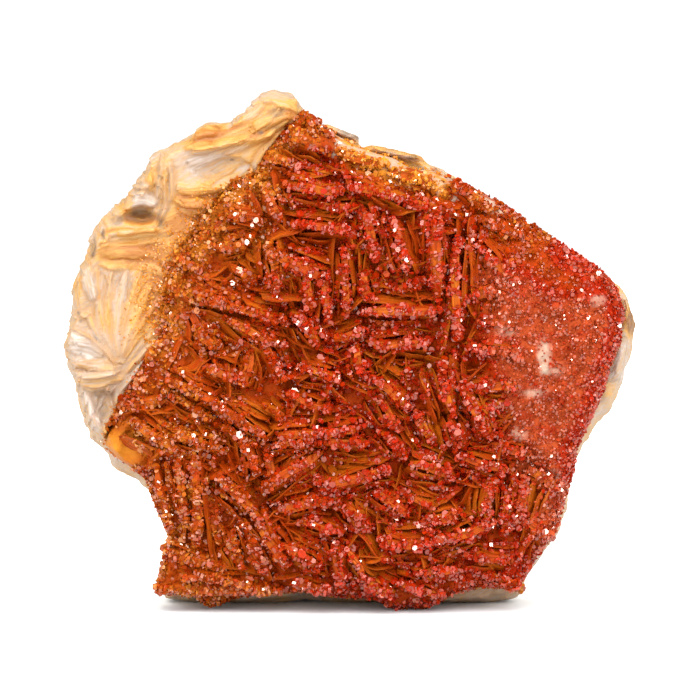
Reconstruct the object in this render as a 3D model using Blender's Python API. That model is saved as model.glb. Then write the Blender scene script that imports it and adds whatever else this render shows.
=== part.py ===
"""Vanadinite on a barite matrix: a hand-sized mineral specimen that stands on its broken base.

Two solids: the pale barite rock, and the crust of barite blades and six-sided vanadinite
crystals that covers its front. The front faces -Y, +Z is up, and the origin lies under the
middle of the specimen, on the surface that it stands on.
"""

import math
import random

import bmesh
import bpy
from mathutils import Matrix, Vector, noise

MM = 0.001
FLAT_ANGLE = math.radians(0.4)
GOLDEN_ANGLE = math.pi * (3.0 - math.sqrt(5.0))

# Driving dimensions, in millimetres.
SEAT_Y = -7.0          # plane between the rock and the crust
SEAT_GAP = 0.3         # clearance between the two solids
CRUST_FACE_Y = -12.0   # valley floor between the blades
CRUST_BEVEL = 1.0      # how far the edge of the crust is rounded back
FOOT_DROP = 2.8        # how much of the underside is broken off flat
FOOT_FRONT_Y = -3.0    # where the flat foot starts
FOOT_BACK_Y = 13.0     # where it ends

# Outline of the whole specimen seen from the front, clockwise from the left tip: (x, z).
ROCK_OUTLINE = [
    (-48.0, 43.5), (-46.7, 48.4), (-46.0, 55.0), (-44.2, 59.5), (-43.0, 63.5), (-41.2, 66.0),
    (-38.0, 68.6), (-36.0, 71.4), (-33.9, 74.0), (-33.2, 76.2), (-29.3, 78.0), (-26.0, 79.8),
    (-24.5, 81.6), (-20.0, 81.6), (-17.6, 83.4), (-15.2, 86.4), (-12.5, 87.0), (-10.0, 86.4),
    (-7.5, 83.9), (-5.0, 82.0), (-2.0, 81.0), (0.2, 79.9), (2.3, 78.2), (8.0, 78.0),
    (13.0, 76.0), (19.0, 71.7), (24.0, 69.2), (30.0, 65.0), (35.0, 62.3), (39.0, 60.0),
    (44.7, 56.2), (46.6, 54.0), (48.0, 50.0), (47.3, 44.5), (46.3, 39.8), (44.0, 36.0),
    (41.5, 33.3), (39.8, 30.2), (37.5, 26.0), (36.9, 21.5), (36.3, 18.3), (35.0, 14.0),
    (33.0, 11.7), (30.0, 7.2), (28.4, 3.6), (24.5, 2.5), (22.5, 1.7), (18.0, 1.4), (13.0, 0.3),
    (7.0, 0.3), (4.0, 2.0), (-3.0, 2.1), (-7.5, 3.3), (-11.0, 1.9), (-18.0, 1.4), (-23.0, 1.2),
    (-27.0, 2.4), (-31.4, 3.6), (-31.2, 8.5), (-30.2, 12.5), (-32.0, 17.0), (-33.8, 21.5),
    (-36.0, 23.5), (-40.0, 26.0), (-41.5, 29.0), (-43.6, 30.4), (-45.0, 35.0), (-46.6, 40.2),
]

# Cross-sections of the rock from its front to its back: (y, scale of x, scale of z, roughness).
ROCK_RINGS = [
    (-7.0, 0.985, 0.990, 0.0),
    (-2.0, 1.000, 1.000, 0.0),
    (5.0, 0.985, 0.985, 0.9),
    (12.0, 0.905, 0.915, 1.3),
    (17.0, 0.760, 0.790, 1.3),
    (20.2, 0.480, 0.540, 0.7),
]
ROCK_GRAIN = 11.0      # spacing of the lumps on the back
ROCK_SEED = 7          # which lumps they are: without a seed they would follow the clock

# Edge of the crust seen from the front, clockwise from its top.
CRUST_OUTLINE = [
    (-7.4, 83.5), (-5.8, 83.0), (-4.6, 80.8), (-1.5, 79.2), (3.0, 77.0), (7.5, 75.7), (10.5, 73.8),
    (14.0, 73.8), (19.0, 71.2), (24.0, 68.9), (30.0, 64.7), (36.0, 60.7), (41.5, 57.0),
    (44.2, 54.0), (45.4, 50.0), (44.8, 45.0), (43.2, 41.0), (42.0, 36.6), (39.6, 31.5),
    (37.6, 27.0), (37.3, 23.8), (36.0, 19.5), (34.6, 13.8), (32.4, 11.0), (29.6, 6.4),
    (27.8, 3.6), (22.0, 4.0), (16.5, 2.6), (13.0, 0.5), (7.0, 0.3), (4.6, 2.1), (-1.0, 2.1),
    (-6.0, 3.2), (-12.0, 3.0), (-19.0, 2.4), (-23.8, 0.5), (-26.0, 2.4), (-32.6, 2.9),
    (-31.4, 8.0), (-30.1, 12.8), (-32.5, 18.0), (-34.2, 22.5), (-38.5, 25.1), (-41.0, 27.8),
    (-40.0, 31.0), (-38.2, 35.0), (-35.2, 40.0), (-31.2, 46.5), (-31.0, 52.0), (-29.0, 58.5),
    (-24.5, 66.0), (-20.0, 71.2), (-15.0, 73.8), (-13.5, 77.0), (-9.2, 82.0),
]

# Blades of barite that stand up from the crust, as the line of each crest:
# (x and z of one end, x and z of the other, height above the valley floor, lean of the crest).
BLADES = [
    # long diagonal blades on the left
    (-29.5, 41.0, -21.5, 37.5, 6.5, -1.6), (-22.0, 37.6, -13.0, 31.6, 7.2, -1.8),
    (-30.0, 38.6, -21.5, 33.4, 5.0, -1.2), (-38.0, 35.2, -30.5, 36.6, 3.2, -0.6),
    (-35.5, 33.4, -27.0, 28.2, 5.0, -1.2), (-29.0, 31.2, -20.5, 28.6, 5.6, -1.0),
    (-21.0, 33.0, -15.5, 29.6, 6.0, -1.0), (-39.6, 29.2, -34.8, 25.4, 1.8, 0.4),
    # rim and columns of the lower left
    (-33.0, 24.5, -30.6, 14.0, 3.4, 0.6), (-29.6, 27.0, -28.2, 15.0, 4.6, 0.8),
    (-26.6, 28.0, -26.2, 12.0, 5.2, 0.8), (-22.2, 22.6, -16.6, 16.6, 6.0, 1.0),
    (-19.0, 31.0, -16.8, 23.6, 6.2, 1.2), (-17.0, 16.8, -11.6, 8.0, 6.4, 1.0),
    (-24.2, 21.0, -22.2, 11.0, 2.6, 0.6), (-30.2, 11.0, -21.0, 8.2, 2.8, -0.8),
    (-27.0, 7.4, -15.5, 5.2, 3.6, -0.8), (-31.6, 4.2, -12.0, 4.4, 2.4, -0.4),
    (-14.6, 28.0, -13.6, 21.0, 5.2, 0.8), (-20.4, 13.4, -18.4, 7.6, 4.2, 0.6),
    # middle of the left half
    (-12.2, 31.2, -5.0, 31.6, 7.0, -0.8), (-5.6, 31.5, 1.4, 32.2, 7.2, -0.8),
    (-12.4, 27.8, -4.8, 28.4, 7.0, 1.0), (-5.4, 28.4, 2.6, 28.0, 7.0, 1.0),
    (-13.6, 20.2, -4.0, 26.0, 6.6, 1.6), (-12.0, 18.6, -3.6, 20.4, 5.6, -1.0),
    (-3.6, 20.8, 6.4, 23.4, 6.6, 1.2), (-10.4, 12.6, -4.6, 8.6, 6.0, -0.8),
    (-8.0, 16.6, -1.4, 14.6, 5.6, -0.8), (-3.4, 12.0, -2.2, 4.6, 5.4, 0.8),
    (-8.8, 6.0, -3.6, 4.6, 4.2, -0.6),
    # upper left
    (-25.2, 55.2, -17.6, 52.6, 5.4, -1.4), (-18.0, 52.8, -9.6, 50.4, 6.2, -1.4),
    (-14.2, 62.0, -12.6, 54.4, 6.4, 0.8), (-12.4, 61.6, -3.0, 57.0, 6.8, -1.0),
    (-22.0, 60.4, -16.0, 61.8, 4.6, 1.0), (-27.6, 51.6, -25.0, 44.0, 3.0, 0.8),
    (-23.6, 42.2, -17.6, 40.2, 5.4, -0.8), (-20.0, 50.6, -10.4, 45.8, 5.8, -1.0),
    (-10.2, 50.0, -6.0, 44.8, 6.8, 1.0), (-8.2, 59.4, -7.4, 50.4, 5.8, 0.8),
    (-5.0, 58.2, -4.6, 50.0, 6.2, 0.8), (-2.0, 61.4, -1.6, 50.4, 7.4, 1.0),
    (-10.4, 72.6, -1.4, 71.6, 6.4, -0.8), (-9.2, 66.4, 0.6, 65.0, 6.2, -0.8),
    (-20.0, 67.4, -14.0, 66.6, 4.0, -0.6), (-14.6, 71.4, -12.6, 65.8, 5.0, 0.8),
    (-9.6, 79.6, -3.6, 76.8, 4.6, 0.6), (-15.4, 47.4, -12.2, 39.4, 5.8, 0.8),
    (-8.0, 42.6, -1.6, 40.4, 6.6, -0.8), (-9.4, 37.6, -2.6, 35.0, 6.2, -0.8),
    # upper middle and right
    (0.4, 72.4, 9.0, 70.4, 5.4, -0.8), (9.4, 69.6, 18.4, 67.2, 4.6, -0.6),
    (1.8, 67.6, 3.4, 59.6, 6.6, 0.8), (6.4, 66.0, 8.8, 57.4, 6.8, 0.8),
    (13.2, 68.0, 13.6, 53.0, 7.4, 1.0), (16.6, 62.6, 17.0, 46.4, 6.8, 0.8),
    (2.2, 50.0, 14.8, 50.2, 7.0, 1.0), (3.0, 46.4, 13.2, 46.6, 6.4, -0.8),
    (20.4, 61.4, 25.4, 56.4, 4.6, 0.8), (19.8, 54.0, 26.2, 54.4, 4.6, -0.6),
    (19.8, 44.2, 29.4, 42.6, 6.0, 0.8), (19.6, 38.8, 28.0, 39.4, 5.6, -0.8),
    (21.0, 35.4, 28.4, 36.8, 4.6, -0.8), (1.4, 57.4, 2.8, 52.0, 5.6, 0.6),
    # lower right
    (14.2, 42.0, 16.2, 33.4, 7.2, 0.8), (16.0, 33.0, 17.2, 27.8, 6.6, 0.8),
    (17.6, 38.0, 20.6, 33.0, 6.6, 0.8), (20.4, 33.2, 22.4, 29.8, 5.8, 0.8),
    (4.4, 40.6, 10.4, 35.4, 6.8, -0.8), (3.6, 37.0, 7.2, 31.0, 6.4, 0.8),
    (10.2, 24.8, 17.0, 22.4, 6.2, 1.0), (4.6, 30.6, 8.6, 25.8, 6.2, 0.8),
    (22.6, 22.6, 22.0, 15.8, 6.4, 0.8), (18.4, 27.6, 26.4, 25.0, 5.6, -0.8),
    (11.6, 16.0, 17.6, 18.0, 5.8, -0.8), (5.0, 11.4, 12.4, 10.8, 6.6, 1.0),
    (12.0, 10.8, 24.2, 14.6, 6.4, 1.0), (3.8, 20.2, 9.0, 16.6, 5.8, 0.8),
    (11.0, 6.2, 18.4, 6.8, 4.8, 0.8), (1.8, 5.4, 6.4, 2.8, 4.6, 0.6),
    (8.0, 4.8, 14.6, 2.6, 4.0, 0.6), (28.6, 22.6, 27.2, 15.6, 4.4, 0.6),
    (-1.0, 10.6, 1.8, 6.2, 5.6, 0.8), (-1.4, 18.2, 2.6, 13.8, 5.8, 0.8),
    # short blades that fill in between the long ones
    (-7.4, 82.2, -5.6, 77.4, 2.8, 0.6), (-13.2, 76.8, -8.0, 75.4, 3.6, -0.6),
    (-1.6, 77.6, 6.0, 75.6, 2.6, -0.5), (7.0, 74.4, 14.0, 72.2, 2.8, -0.5),
    (17.4, 71.2, 22.6, 67.2, 2.8, 0.6), (21.8, 66.6, 29.4, 63.4, 3.2, -0.6),
    (26.0, 60.6, 26.8, 53.6, 4.4, 0.6), (22.2, 53.0, 21.4, 47.0, 4.2, 0.6),
    (-28.6, 60.2, -24.4, 58.0, 2.4, -0.5), (-29.6, 55.6, -26.0, 53.2, 2.2, -0.5),
    (-19.4, 59.0, -15.4, 56.4, 4.4, -0.6), (-25.4, 48.6, -21.6, 45.2, 4.2, -0.6),
    (-33.4, 42.2, -30.6, 45.4, 2.2, 0.5), (-16.8, 44.4, -18.4, 38.6, 4.6, 0.6),
    (0.2, 45.2, 2.0, 39.4, 6.0, 0.6), (10.6, 33.2, 13.4, 28.4, 4.6, 0.6),
    (23.4, 29.2, 30.2, 27.4, 4.2, -0.6), (30.4, 24.6, 34.6, 21.8, 2.8, -0.6),
    (25.4, 20.6, 25.0, 13.6, 5.0, 0.6), (29.4, 16.4, 33.6, 13.4, 3.2, -0.6),
    (19.6, 10.8, 27.0, 9.4, 3.8, -0.6), (22.6, 7.2, 28.4, 5.2, 2.6, -0.5),
    (9.4, 20.8, 14.4, 18.8, 4.8, -0.6), (-17.2, 12.6, -14.8, 7.2, 4.6, 0.6),
    (-7.6, 24.2, -1.2, 16.8, 4.6, 0.6), (12.4, 14.8, 18.8, 13.0, 5.2, -0.6),
    (-34.6, 27.2, -30.6, 25.8, 3.4, -0.6), (-6.0, 69.4, 1.6, 68.6, 5.0, -0.6),
    (7.4, 53.6, 12.4, 55.4, 5.2, 0.6), (-13.8, 35.8, -9.8, 32.8, 5.2, -0.6),
]

ROOT_DEPTH = 1.2       # how far the foot of a blade reaches into the plate below it
BLADE_TILT = 0.14      # most that one end of a crest stands higher than its middle

# Crystals on the blades: six-sided tablets.
CRYSTALS_PER_MM = 0.085
CRYSTAL_RADIUS = (0.9, 1.6)
CRYSTAL_THICKNESS = (0.7, 1.3)
CREST_SEED = 11
DRUSE_SEED = 12

# Smooth swelling of fine crystals on the right: middle, radii, and how many crystals stand on it.
DRUSE_CENTRE = (33.0, CRUST_FACE_Y + 1.0, 44.0)
DRUSE_RADII = (10.5, 4.4, 19.0)
DRUSE_TURN = -14.0
DRUSE_CRYSTALS = 18

# Left side of the rock, which comes forward beside the crust.
LEFT_FACE_Y = -12.2
LEFT_BACK_Y = -5.0
LEFT_INNER_EDGE = [
    (-9.0, 80.5), (-13.0, 72.5), (-20.0, 66.0), (-26.0, 58.0), (-28.0, 50.0), (-30.0, 44.0),
    (-34.0, 37.0), (-36.0, 30.0),
]
SOCKET_CLEARANCE = 0.35

# Ribs that fan out from one point, and what stands on the left side and along the rims:
# (x and z of one end, x and z of the other, half width, height in front of the face).
FAN_FOCUS = (-38.5, 41.5)
FAN_RIB_TIPS = [
    (-45.0, 46.6), (-44.2, 50.5), (-42.8, 55.0), (-40.2, 58.4), (-37.4, 58.8), (-34.9, 57.8),
    (-33.0, 55.0), (-32.6, 51.4),
]
RIDGES = [
    (-46.2, 42.2, -39.0, 41.6, 0.8, 1.3), (-45.6, 39.4, -38.4, 40.2, 0.9, 2.2),
    (-44.8, 37.9, -39.6, 37.7, 0.7, 1.2), (-42.4, 36.8, -42.8, 32.6, 1.2, 0.8),
    (-39.0, 63.6, -31.6, 64.2, 0.9, 2.0), (-41.4, 60.8, -39.6, 64.2, 0.8, 1.0),
    (-35.2, 69.4, -32.4, 73.6, 1.0, 1.2), (-31.4, 68.6, -30.6, 75.4, 0.8, 1.6),
    (-29.0, 71.0, -16.0, 71.2, 0.7, 1.2), (-26.6, 77.2, -12.0, 80.2, 0.8, 1.6),
    (-16.6, 81.0, -9.4, 83.4, 1.4, 1.8),
]
RIM_RIDGES = [
    (-4.2, 80.9, 1.6, 78.6, 0.6, 1.6), (3.0, 77.5, 12.2, 75.6, 0.6, 1.8),
    (13.6, 74.4, 18.4, 71.4, 0.5, 1.2), (46.0, 52.6, 46.6, 47.4, 0.5, 1.6),
    (45.8, 44.0, 44.4, 38.8, 0.7, 1.2),
]

# Rounded lumps and scooped hollows of the left side: (middle, radii, turn in the face in degrees).
LUMPS = [
    ((-44.4, -11.6, 45.8), (2.9, 2.2, 2.3), 0.0), ((-44.3, -10.6, 54.2), (1.3, 2.4, 4.2), -4.0),
    ((-25.6, -11.6, 68.4), (3.9, 2.2, 2.0), -8.0), ((-12.4, -9.6, 83.4), (5.0, 4.4, 2.8), 20.0),
    ((-24.0, -9.8, 79.6), (3.0, 3.2, 1.9), 10.0), ((-36.8, -11.2, 60.4), (4.4, 2.2, 2.2), 0.0),
]
HOLLOWS = [
    ((-21.6, -13.6, 74.4), (7.2, 3.2, 2.3), 12.0), ((-34.6, -12.8, 67.0), (3.0, 3.0, 1.7), 0.0),
    ((-41.2, -13.0, 33.8), (1.6, 1.8, 3.0), 12.0),
]

# Flat breaks across the back: (a point on the break, its outward direction).
BREAKS = [
    ((34.0, 8.0, 56.0), (0.62, 0.62, 0.48)), ((-32.0, 12.0, 62.0), (-0.52, 0.78, 0.34)),
    ((12.0, 18.6, 24.0), (0.22, 0.88, -0.42)), ((-20.0, 16.4, 24.0), (-0.34, 0.90, -0.28)),
    ((-2.0, 16.6, 70.0), (0.08, 0.78, 0.62)), ((38.0, 8.0, 34.0), (0.80, 0.56, -0.20)),
]


def pairs(items):
    """Each item with the one after it, and the last with the first."""
    return zip(items, items[1:] + items[:1])


def object_from(bm, name, keep=True):
    """Make an object from a bmesh given in millimetres; a helper is hidden from the result."""
    bmesh.ops.scale(bm, vec=(MM, MM, MM), verts=bm.verts)
    bmesh.ops.recalc_face_normals(bm, faces=bm.faces)
    mesh = bpy.data.meshes.new(name)
    bm.to_mesh(mesh)
    bm.free()
    obj = bpy.data.objects.new(name, mesh)
    bpy.context.collection.objects.link(obj)
    if not keep:
        obj.hide_render = True
        obj.display_type = "WIRE"
    return obj


def lofted(rings):
    """A closed body through equal rings of points, capped at both ends."""
    bm = bmesh.new()
    loops = [[bm.verts.new(point) for point in ring] for ring in rings]
    for lower, upper in zip(loops, loops[1:]):
        for (a, b), (c, d) in zip(pairs(lower), pairs(upper)):
            bm.faces.new((a, b, d, c))
    bm.faces.new(loops[0])
    bm.faces.new(loops[-1])
    return bm


def grown(outline, reach):
    """A clockwise outline moved outward by a distance."""
    moved = []
    for before, here, after in zip(outline[-1:] + outline[:-1], outline, outline[1:] + outline[:1]):
        run = Vector(after) - Vector(before)
        outward = Vector((-run.y, run.x)).normalized()
        moved.append(tuple(Vector(here) + outward * reach))
    return moved


def plate(outline, back_y, front_y, inset=0.0):
    """A slab with the given outline, whose front edge is bevelled by the inset."""
    centre_x = sum(x for x, z in outline) / len(outline)
    centre_z = sum(z for x, z in outline) / len(outline)

    def ring(y, pull):
        points = []
        for x, z in outline:
            away = Vector((x - centre_x, 0.0, z - centre_z))
            shift = away.normalized() * pull
            points.append((x - shift.x, y, z - shift.z))
        return points

    return lofted([ring(back_y, 0.0), ring(0.5 * (back_y + front_y), 0.0), ring(front_y, inset)])


def blade(x0, z0, x1, z1, height, lean, tilt=0.0):
    """A wedge that stands on the valley floor, with a narrow crest from one point to the other.

    The tilt raises one end of the crest and lowers the other, as a share of the height.
    """
    start = Vector((x0, 0.0, z0))
    end = Vector((x1, 0.0, z1))
    along = (end - start).normalized()
    across = Vector((-along.z, 0.0, along.x))
    rings = []
    for rise, half, flare in ((-ROOT_DEPTH / height, 0.34 * height, 1.6),
                              (1.0, 0.10 * height, -0.2)):
        middle = across * lean * max(rise, 0.0)
        low = Vector((0.0, CRUST_FACE_Y - height * rise * (1.0 - tilt), 0.0)) + middle
        high = Vector((0.0, CRUST_FACE_Y - height * rise * (1.0 + tilt), 0.0)) + middle
        rings.append([start - along * flare - across * half + low,
                      end + along * flare - across * half + high,
                      end + along * flare + across * half + high,
                      start - along * flare + across * half + low])
    return lofted(rings)


def crest_tilt(index):
    """How much a blade's crest is tipped, different for each blade in turn."""
    return BLADE_TILT * math.sin(index * GOLDEN_ANGLE)


def crystal(place, axis, radius, thickness, spin):
    """A six-sided tablet centred on a place, with its flat faces square to the axis."""
    bm = bmesh.new()
    bmesh.ops.create_cone(bm, cap_ends=True, segments=6, radius1=radius, radius2=radius,
                          depth=thickness)
    turn = Vector((0.0, 0.0, 1.0)).rotation_difference(axis).to_matrix().to_4x4()
    bmesh.ops.transform(bm, matrix=Matrix.Translation(place) @ turn @ Matrix.Rotation(spin, 4, "Z"),
                        verts=bm.verts)
    return bm


def united(name, base, pieces, operation="UNION"):
    """Join pieces to a base, or cut them from it, as one closed body with no inner pockets."""
    group = bpy.data.collections.new(name + "_pieces")
    bpy.context.scene.collection.children.link(group)
    for piece in pieces:
        bpy.context.collection.objects.unlink(piece)
        group.objects.link(piece)
    boolean = base.modifiers.new("join", "BOOLEAN")
    boolean.operation = operation
    boolean.solver = "EXACT"
    boolean.operand_type = "COLLECTION"
    boolean.collection = group
    bpy.context.view_layer.update()
    depsgraph = bpy.context.evaluated_depsgraph_get()
    mesh = bpy.data.meshes.new_from_object(base.evaluated_get(depsgraph))
    base.modifiers.clear()
    base.data = mesh
    for piece in pieces:
        bpy.data.objects.remove(piece)
    bpy.data.collections.remove(group)
    return base


def ridge(x0, z0, x1, z1, half, height, face_y=LEFT_FACE_Y):
    """A low rib with a sharp crest that stands out from a face."""
    start = Vector((x0, 0.0, z0))
    end = Vector((x1, 0.0, z1))
    along = (end - start).normalized()
    across = Vector((-along.z, 0.0, along.x))
    rings = []
    for y, width, pull in ((LEFT_BACK_Y, half, 0.0), (face_y, half, 0.0),
                           (face_y - height, 0.3 * half, 0.8)):
        ring = [start + along * pull - across * width, end - along * pull - across * width,
                end - along * pull + across * width, start + along * pull + across * width]
        rings.append([point + Vector((0.0, y, 0.0)) for point in ring])
    return lofted(rings)


def ellipsoid(middle, radii, turn, detail=1):
    """A faceted ellipsoid, turned about the viewing direction."""
    bm = bmesh.new()
    bmesh.ops.create_icosphere(bm, subdivisions=detail, radius=1.0)
    shape = (Matrix.Translation(middle) @ Matrix.Rotation(math.radians(-turn), 4, "Y")
             @ Matrix.Diagonal((*radii, 1.0)))
    bmesh.ops.transform(bm, matrix=shape, verts=bm.verts)
    return bm


def rock_rings():
    """Cross-sections of the rock, rough towards the back and flat where the foot is broken."""
    noise.seed_set(ROCK_SEED)
    rings = []
    for y, scale_x, scale_z, rough in ROCK_RINGS:
        ring = []
        for x, z in ROCK_OUTLINE:
            point = Vector((x * scale_x, y, z * scale_z))
            grain = noise.noise_vector(point / ROCK_GRAIN) * rough * 1.6
            point += Vector((grain.x, 0.6 * grain.y, grain.z))
            if FOOT_FRONT_Y <= y <= FOOT_BACK_Y:
                point.z = max(0.0, point.z - FOOT_DROP)
            ring.append(point)
        rings.append(ring)
    return rings


def broken(bm, place, direction):
    """Break a body off flat at a plane."""
    cut = bmesh.ops.bisect_plane(bm, geom=bm.verts[:] + bm.edges[:] + bm.faces[:], dist=0.0001,
                                 plane_co=place, plane_no=direction, clear_outer=True)
    rim = [item for item in cut["geom_cut"] if isinstance(item, bmesh.types.BMEdge)]
    bmesh.ops.edgeloop_fill(bm, edges=rim)


def drop_pockets(bm):
    """Remove the small closed shells left in and between pieces: only the outer surface stays."""
    left = set(bm.faces)
    shells = []
    while left:
        front = {left.pop()}
        shell = set(front)
        while front:
            reached = {face for known in front for edge in known.edges for face in edge.link_faces}
            front = reached - shell
            shell |= reached
        left -= shell
        shells.append(shell)
    shells.sort(key=len)
    for shell in shells[:-1]:
        bmesh.ops.delete(bm, geom=list(shell), context="FACES")


def tidied(obj):
    """Join the faces that lie flat to each other, and leave only triangles."""
    bm = bmesh.new()
    bm.from_mesh(obj.data)
    drop_pockets(bm)
    bmesh.ops.dissolve_limit(bm, angle_limit=FLAT_ANGLE, verts=bm.verts, edges=bm.edges)
    bmesh.ops.triangulate(bm, faces=bm.faces)
    bm.to_mesh(obj.data)
    bm.free()


def material(name, colour, roughness):
    """A plain surface with one colour."""
    made = bpy.data.materials.new(name)
    made.use_nodes = True
    shader = made.node_tree.nodes["Principled BSDF"]
    shader.inputs["Base Color"].default_value = (*colour, 1.0)
    shader.inputs["Roughness"].default_value = roughness
    made.diffuse_color = (*colour, 1.0)
    return made


def barite_matrix():
    """The pale rock: a rough block with a raised left side, and a seat cut for the crust."""
    body = lofted(rock_rings())
    for place, direction in BREAKS:
        broken(body, place, Vector(direction).normalized())
    rock = object_from(body, "barite_matrix")

    left_side = ROCK_OUTLINE[-5:] + ROCK_OUTLINE[:19] + LEFT_INNER_EDGE
    added = [plate(left_side, LEFT_BACK_Y, LEFT_FACE_Y, 1.4)]
    added += [ridge(*FAN_FOCUS, *tip, 0.75, 0.9) for tip in FAN_RIB_TIPS]
    added += [ridge(*ends) for ends in RIDGES]
    added += [ridge(*ends, face_y=SEAT_Y) for ends in RIM_RIDGES]
    added += [ellipsoid(*lump) for lump in LUMPS]
    united("rock", rock, [object_from(bm, "added", False) for bm in added])

    cut = [ellipsoid(*hollow) for hollow in HOLLOWS]
    cut.append(plate(grown(CRUST_OUTLINE, SOCKET_CLEARANCE), SEAT_Y, SEAT_Y - 30.0))
    united("seat", rock, [object_from(bm, "cut", False) for bm in cut], "DIFFERENCE")
    tidied(rock)
    rock.data.materials.clear()
    rock.data.materials.append(material("barite_matrix", (0.80, 0.57, 0.36), 0.75))
    return rock


def vanadinite_crust():
    """The crust: a plate with a bevelled edge, blades standing on it, and crystals on the blades."""
    crust = object_from(plate(CRUST_OUTLINE, SEAT_Y - SEAT_GAP, CRUST_FACE_Y, CRUST_BEVEL),
                        "vanadinite_crust")
    added = [ellipsoid(DRUSE_CENTRE, DRUSE_RADII, DRUSE_TURN, detail=2)]
    added += [blade(*ends, tilt=crest_tilt(index)) for index, ends in enumerate(BLADES)]
    added += crest_crystals(random.Random(CREST_SEED))
    added += druse_crystals(random.Random(DRUSE_SEED))
    united("crust", crust, [object_from(bm, "added", False) for bm in added])
    edge = object_from(plate(CRUST_OUTLINE, SEAT_Y, SEAT_Y - 30.0), "edge", False)
    united("edge", crust, [edge], "INTERSECT")
    tidied(crust)
    crust.data.materials.clear()
    crust.data.materials.append(material("vanadinite_crust", (0.34, 0.045, 0.006), 0.35))
    return crust


def crest_crystals(rng):
    """Tablets scattered along the crest of each blade, tipped about the way it faces."""
    made = []
    for index, (x0, z0, x1, z1, height, lean) in enumerate(BLADES):
        start = Vector((x0, 0.0, z0))
        end = Vector((x1, 0.0, z1))
        along = (end - start).normalized()
        across = Vector((-along.z, 0.0, along.x))
        count = round((end - start).length * CRYSTALS_PER_MM)
        for step in range(count):
            share = (step + 0.5 + rng.uniform(-0.3, 0.3)) / count
            place = start.lerp(end, share) + across * (lean + rng.uniform(-0.5, 0.5))
            place.y = CRUST_FACE_Y - height * (1.0 + crest_tilt(index) * (2.0 * share - 1.0)) + 0.25
            axis = Vector((rng.gauss(0.0, 0.6), -1.0, rng.gauss(0.0, 0.6))).normalized()
            made.append(crystal(place, axis, rng.uniform(*CRYSTAL_RADIUS),
                                rng.uniform(*CRYSTAL_THICKNESS), rng.uniform(0.0, 1.0)))
    return made


def druse_crystals(rng):
    """Tablets spread over the smooth swelling on the right."""
    made = []
    for step in range(DRUSE_CRYSTALS):
        angle = step * GOLDEN_ANGLE
        reach = 0.86 * math.sqrt((step + 0.5) / DRUSE_CRYSTALS)
        local = Vector((math.cos(angle) * reach, 0.0, math.sin(angle) * reach))
        local.y = -math.sqrt(1.0 - local.length_squared)
        turn = Matrix.Rotation(math.radians(-DRUSE_TURN), 3, "Y")
        place = turn @ Vector([a * b for a, b in zip(local, DRUSE_RADII)]) + Vector(DRUSE_CENTRE)
        axis = turn @ Vector([a / b for a, b in zip(local, DRUSE_RADII)])
        axis = (axis.normalized() + 0.4 * Vector((rng.gauss(0, 1), 0, rng.gauss(0, 1)))).normalized()
        made.append(crystal(place, axis, rng.uniform(*CRYSTAL_RADIUS) * 0.9,
                            rng.uniform(*CRYSTAL_THICKNESS), rng.uniform(0.0, 1.0)))
    return made


def main():
    """Start from an empty scene and make the two solids."""
    for obj in list(bpy.data.objects):
        bpy.data.objects.remove(obj)
    barite_matrix()
    vanadinite_crust()


main()
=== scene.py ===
"""Looks of a vanadinite on matrix specimen, laid out as an add-on.

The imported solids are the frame. Each operator builds one piece of the specimen over them: the pale
barite rock, the ground of the crust, the barite blades that stand on it, and the coats of small
six-sided vanadinite crystals. The last operator sets the stage.
"""

import math
from contextlib import contextmanager

import bpy
import numpy as np
from bpy.props import FloatProperty, FloatVectorProperty, IntProperty, PointerProperty
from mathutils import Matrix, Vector, noise
from mathutils.bvhtree import BVHTree


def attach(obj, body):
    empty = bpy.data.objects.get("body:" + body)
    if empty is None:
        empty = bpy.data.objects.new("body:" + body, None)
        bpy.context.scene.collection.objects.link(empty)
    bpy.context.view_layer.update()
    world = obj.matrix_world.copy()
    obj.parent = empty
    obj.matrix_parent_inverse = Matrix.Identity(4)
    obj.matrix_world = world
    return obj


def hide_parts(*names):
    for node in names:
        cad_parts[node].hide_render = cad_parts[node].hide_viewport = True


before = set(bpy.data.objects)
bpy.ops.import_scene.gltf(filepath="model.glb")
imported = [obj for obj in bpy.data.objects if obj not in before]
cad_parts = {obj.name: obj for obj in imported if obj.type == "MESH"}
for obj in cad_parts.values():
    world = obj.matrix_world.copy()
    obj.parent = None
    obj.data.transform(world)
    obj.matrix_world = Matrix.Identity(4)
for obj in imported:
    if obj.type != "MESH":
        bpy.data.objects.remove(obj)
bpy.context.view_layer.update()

bl_info = {
    "name": "Vanadinite on matrix",
    "version": (1, 0, 0),
    "blender": (4, 5, 0),
    "location": "View3D > Sidebar > Specimen",
    "description": "Builds a crust of vanadinite crystals on barite blades and a pale barite rock",
    "category": "Object",
}

MM = 0.001

# Places on the front, in millimetres: x to the right of the middle, z above the foot, y forward
# is negative. The blades stand on a valley floor at FACE_Y.
FACE_Y = -12.0
SEAT_Y = -7.3                # back of the crust, where it sits in the rock
IN_FRONT_Y = -40.0           # where lines that look for a surface from the front start
ROOT_DEPTH = 1.2             # how far a blade reaches behind the valley floor
GROUND_SHARE = 0.40          # how high the ground stands between blades, as a share of them
LOOSE_PLATES = 900
BLADE_SEED = 21
HEIGHT, SLOPE, IS_BLADE = 4, 6, 10     # places in a row of the table of blades
BLADE_TILT = 0.14
GOLDEN_ANGLE = math.pi * (3.0 - math.sqrt(5.0))
FLOOR_GAP = 0.35             # crystals keep this far above the floor
PIECE_TRIANGLES = 190000     # crystals past this go in another piece

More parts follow.
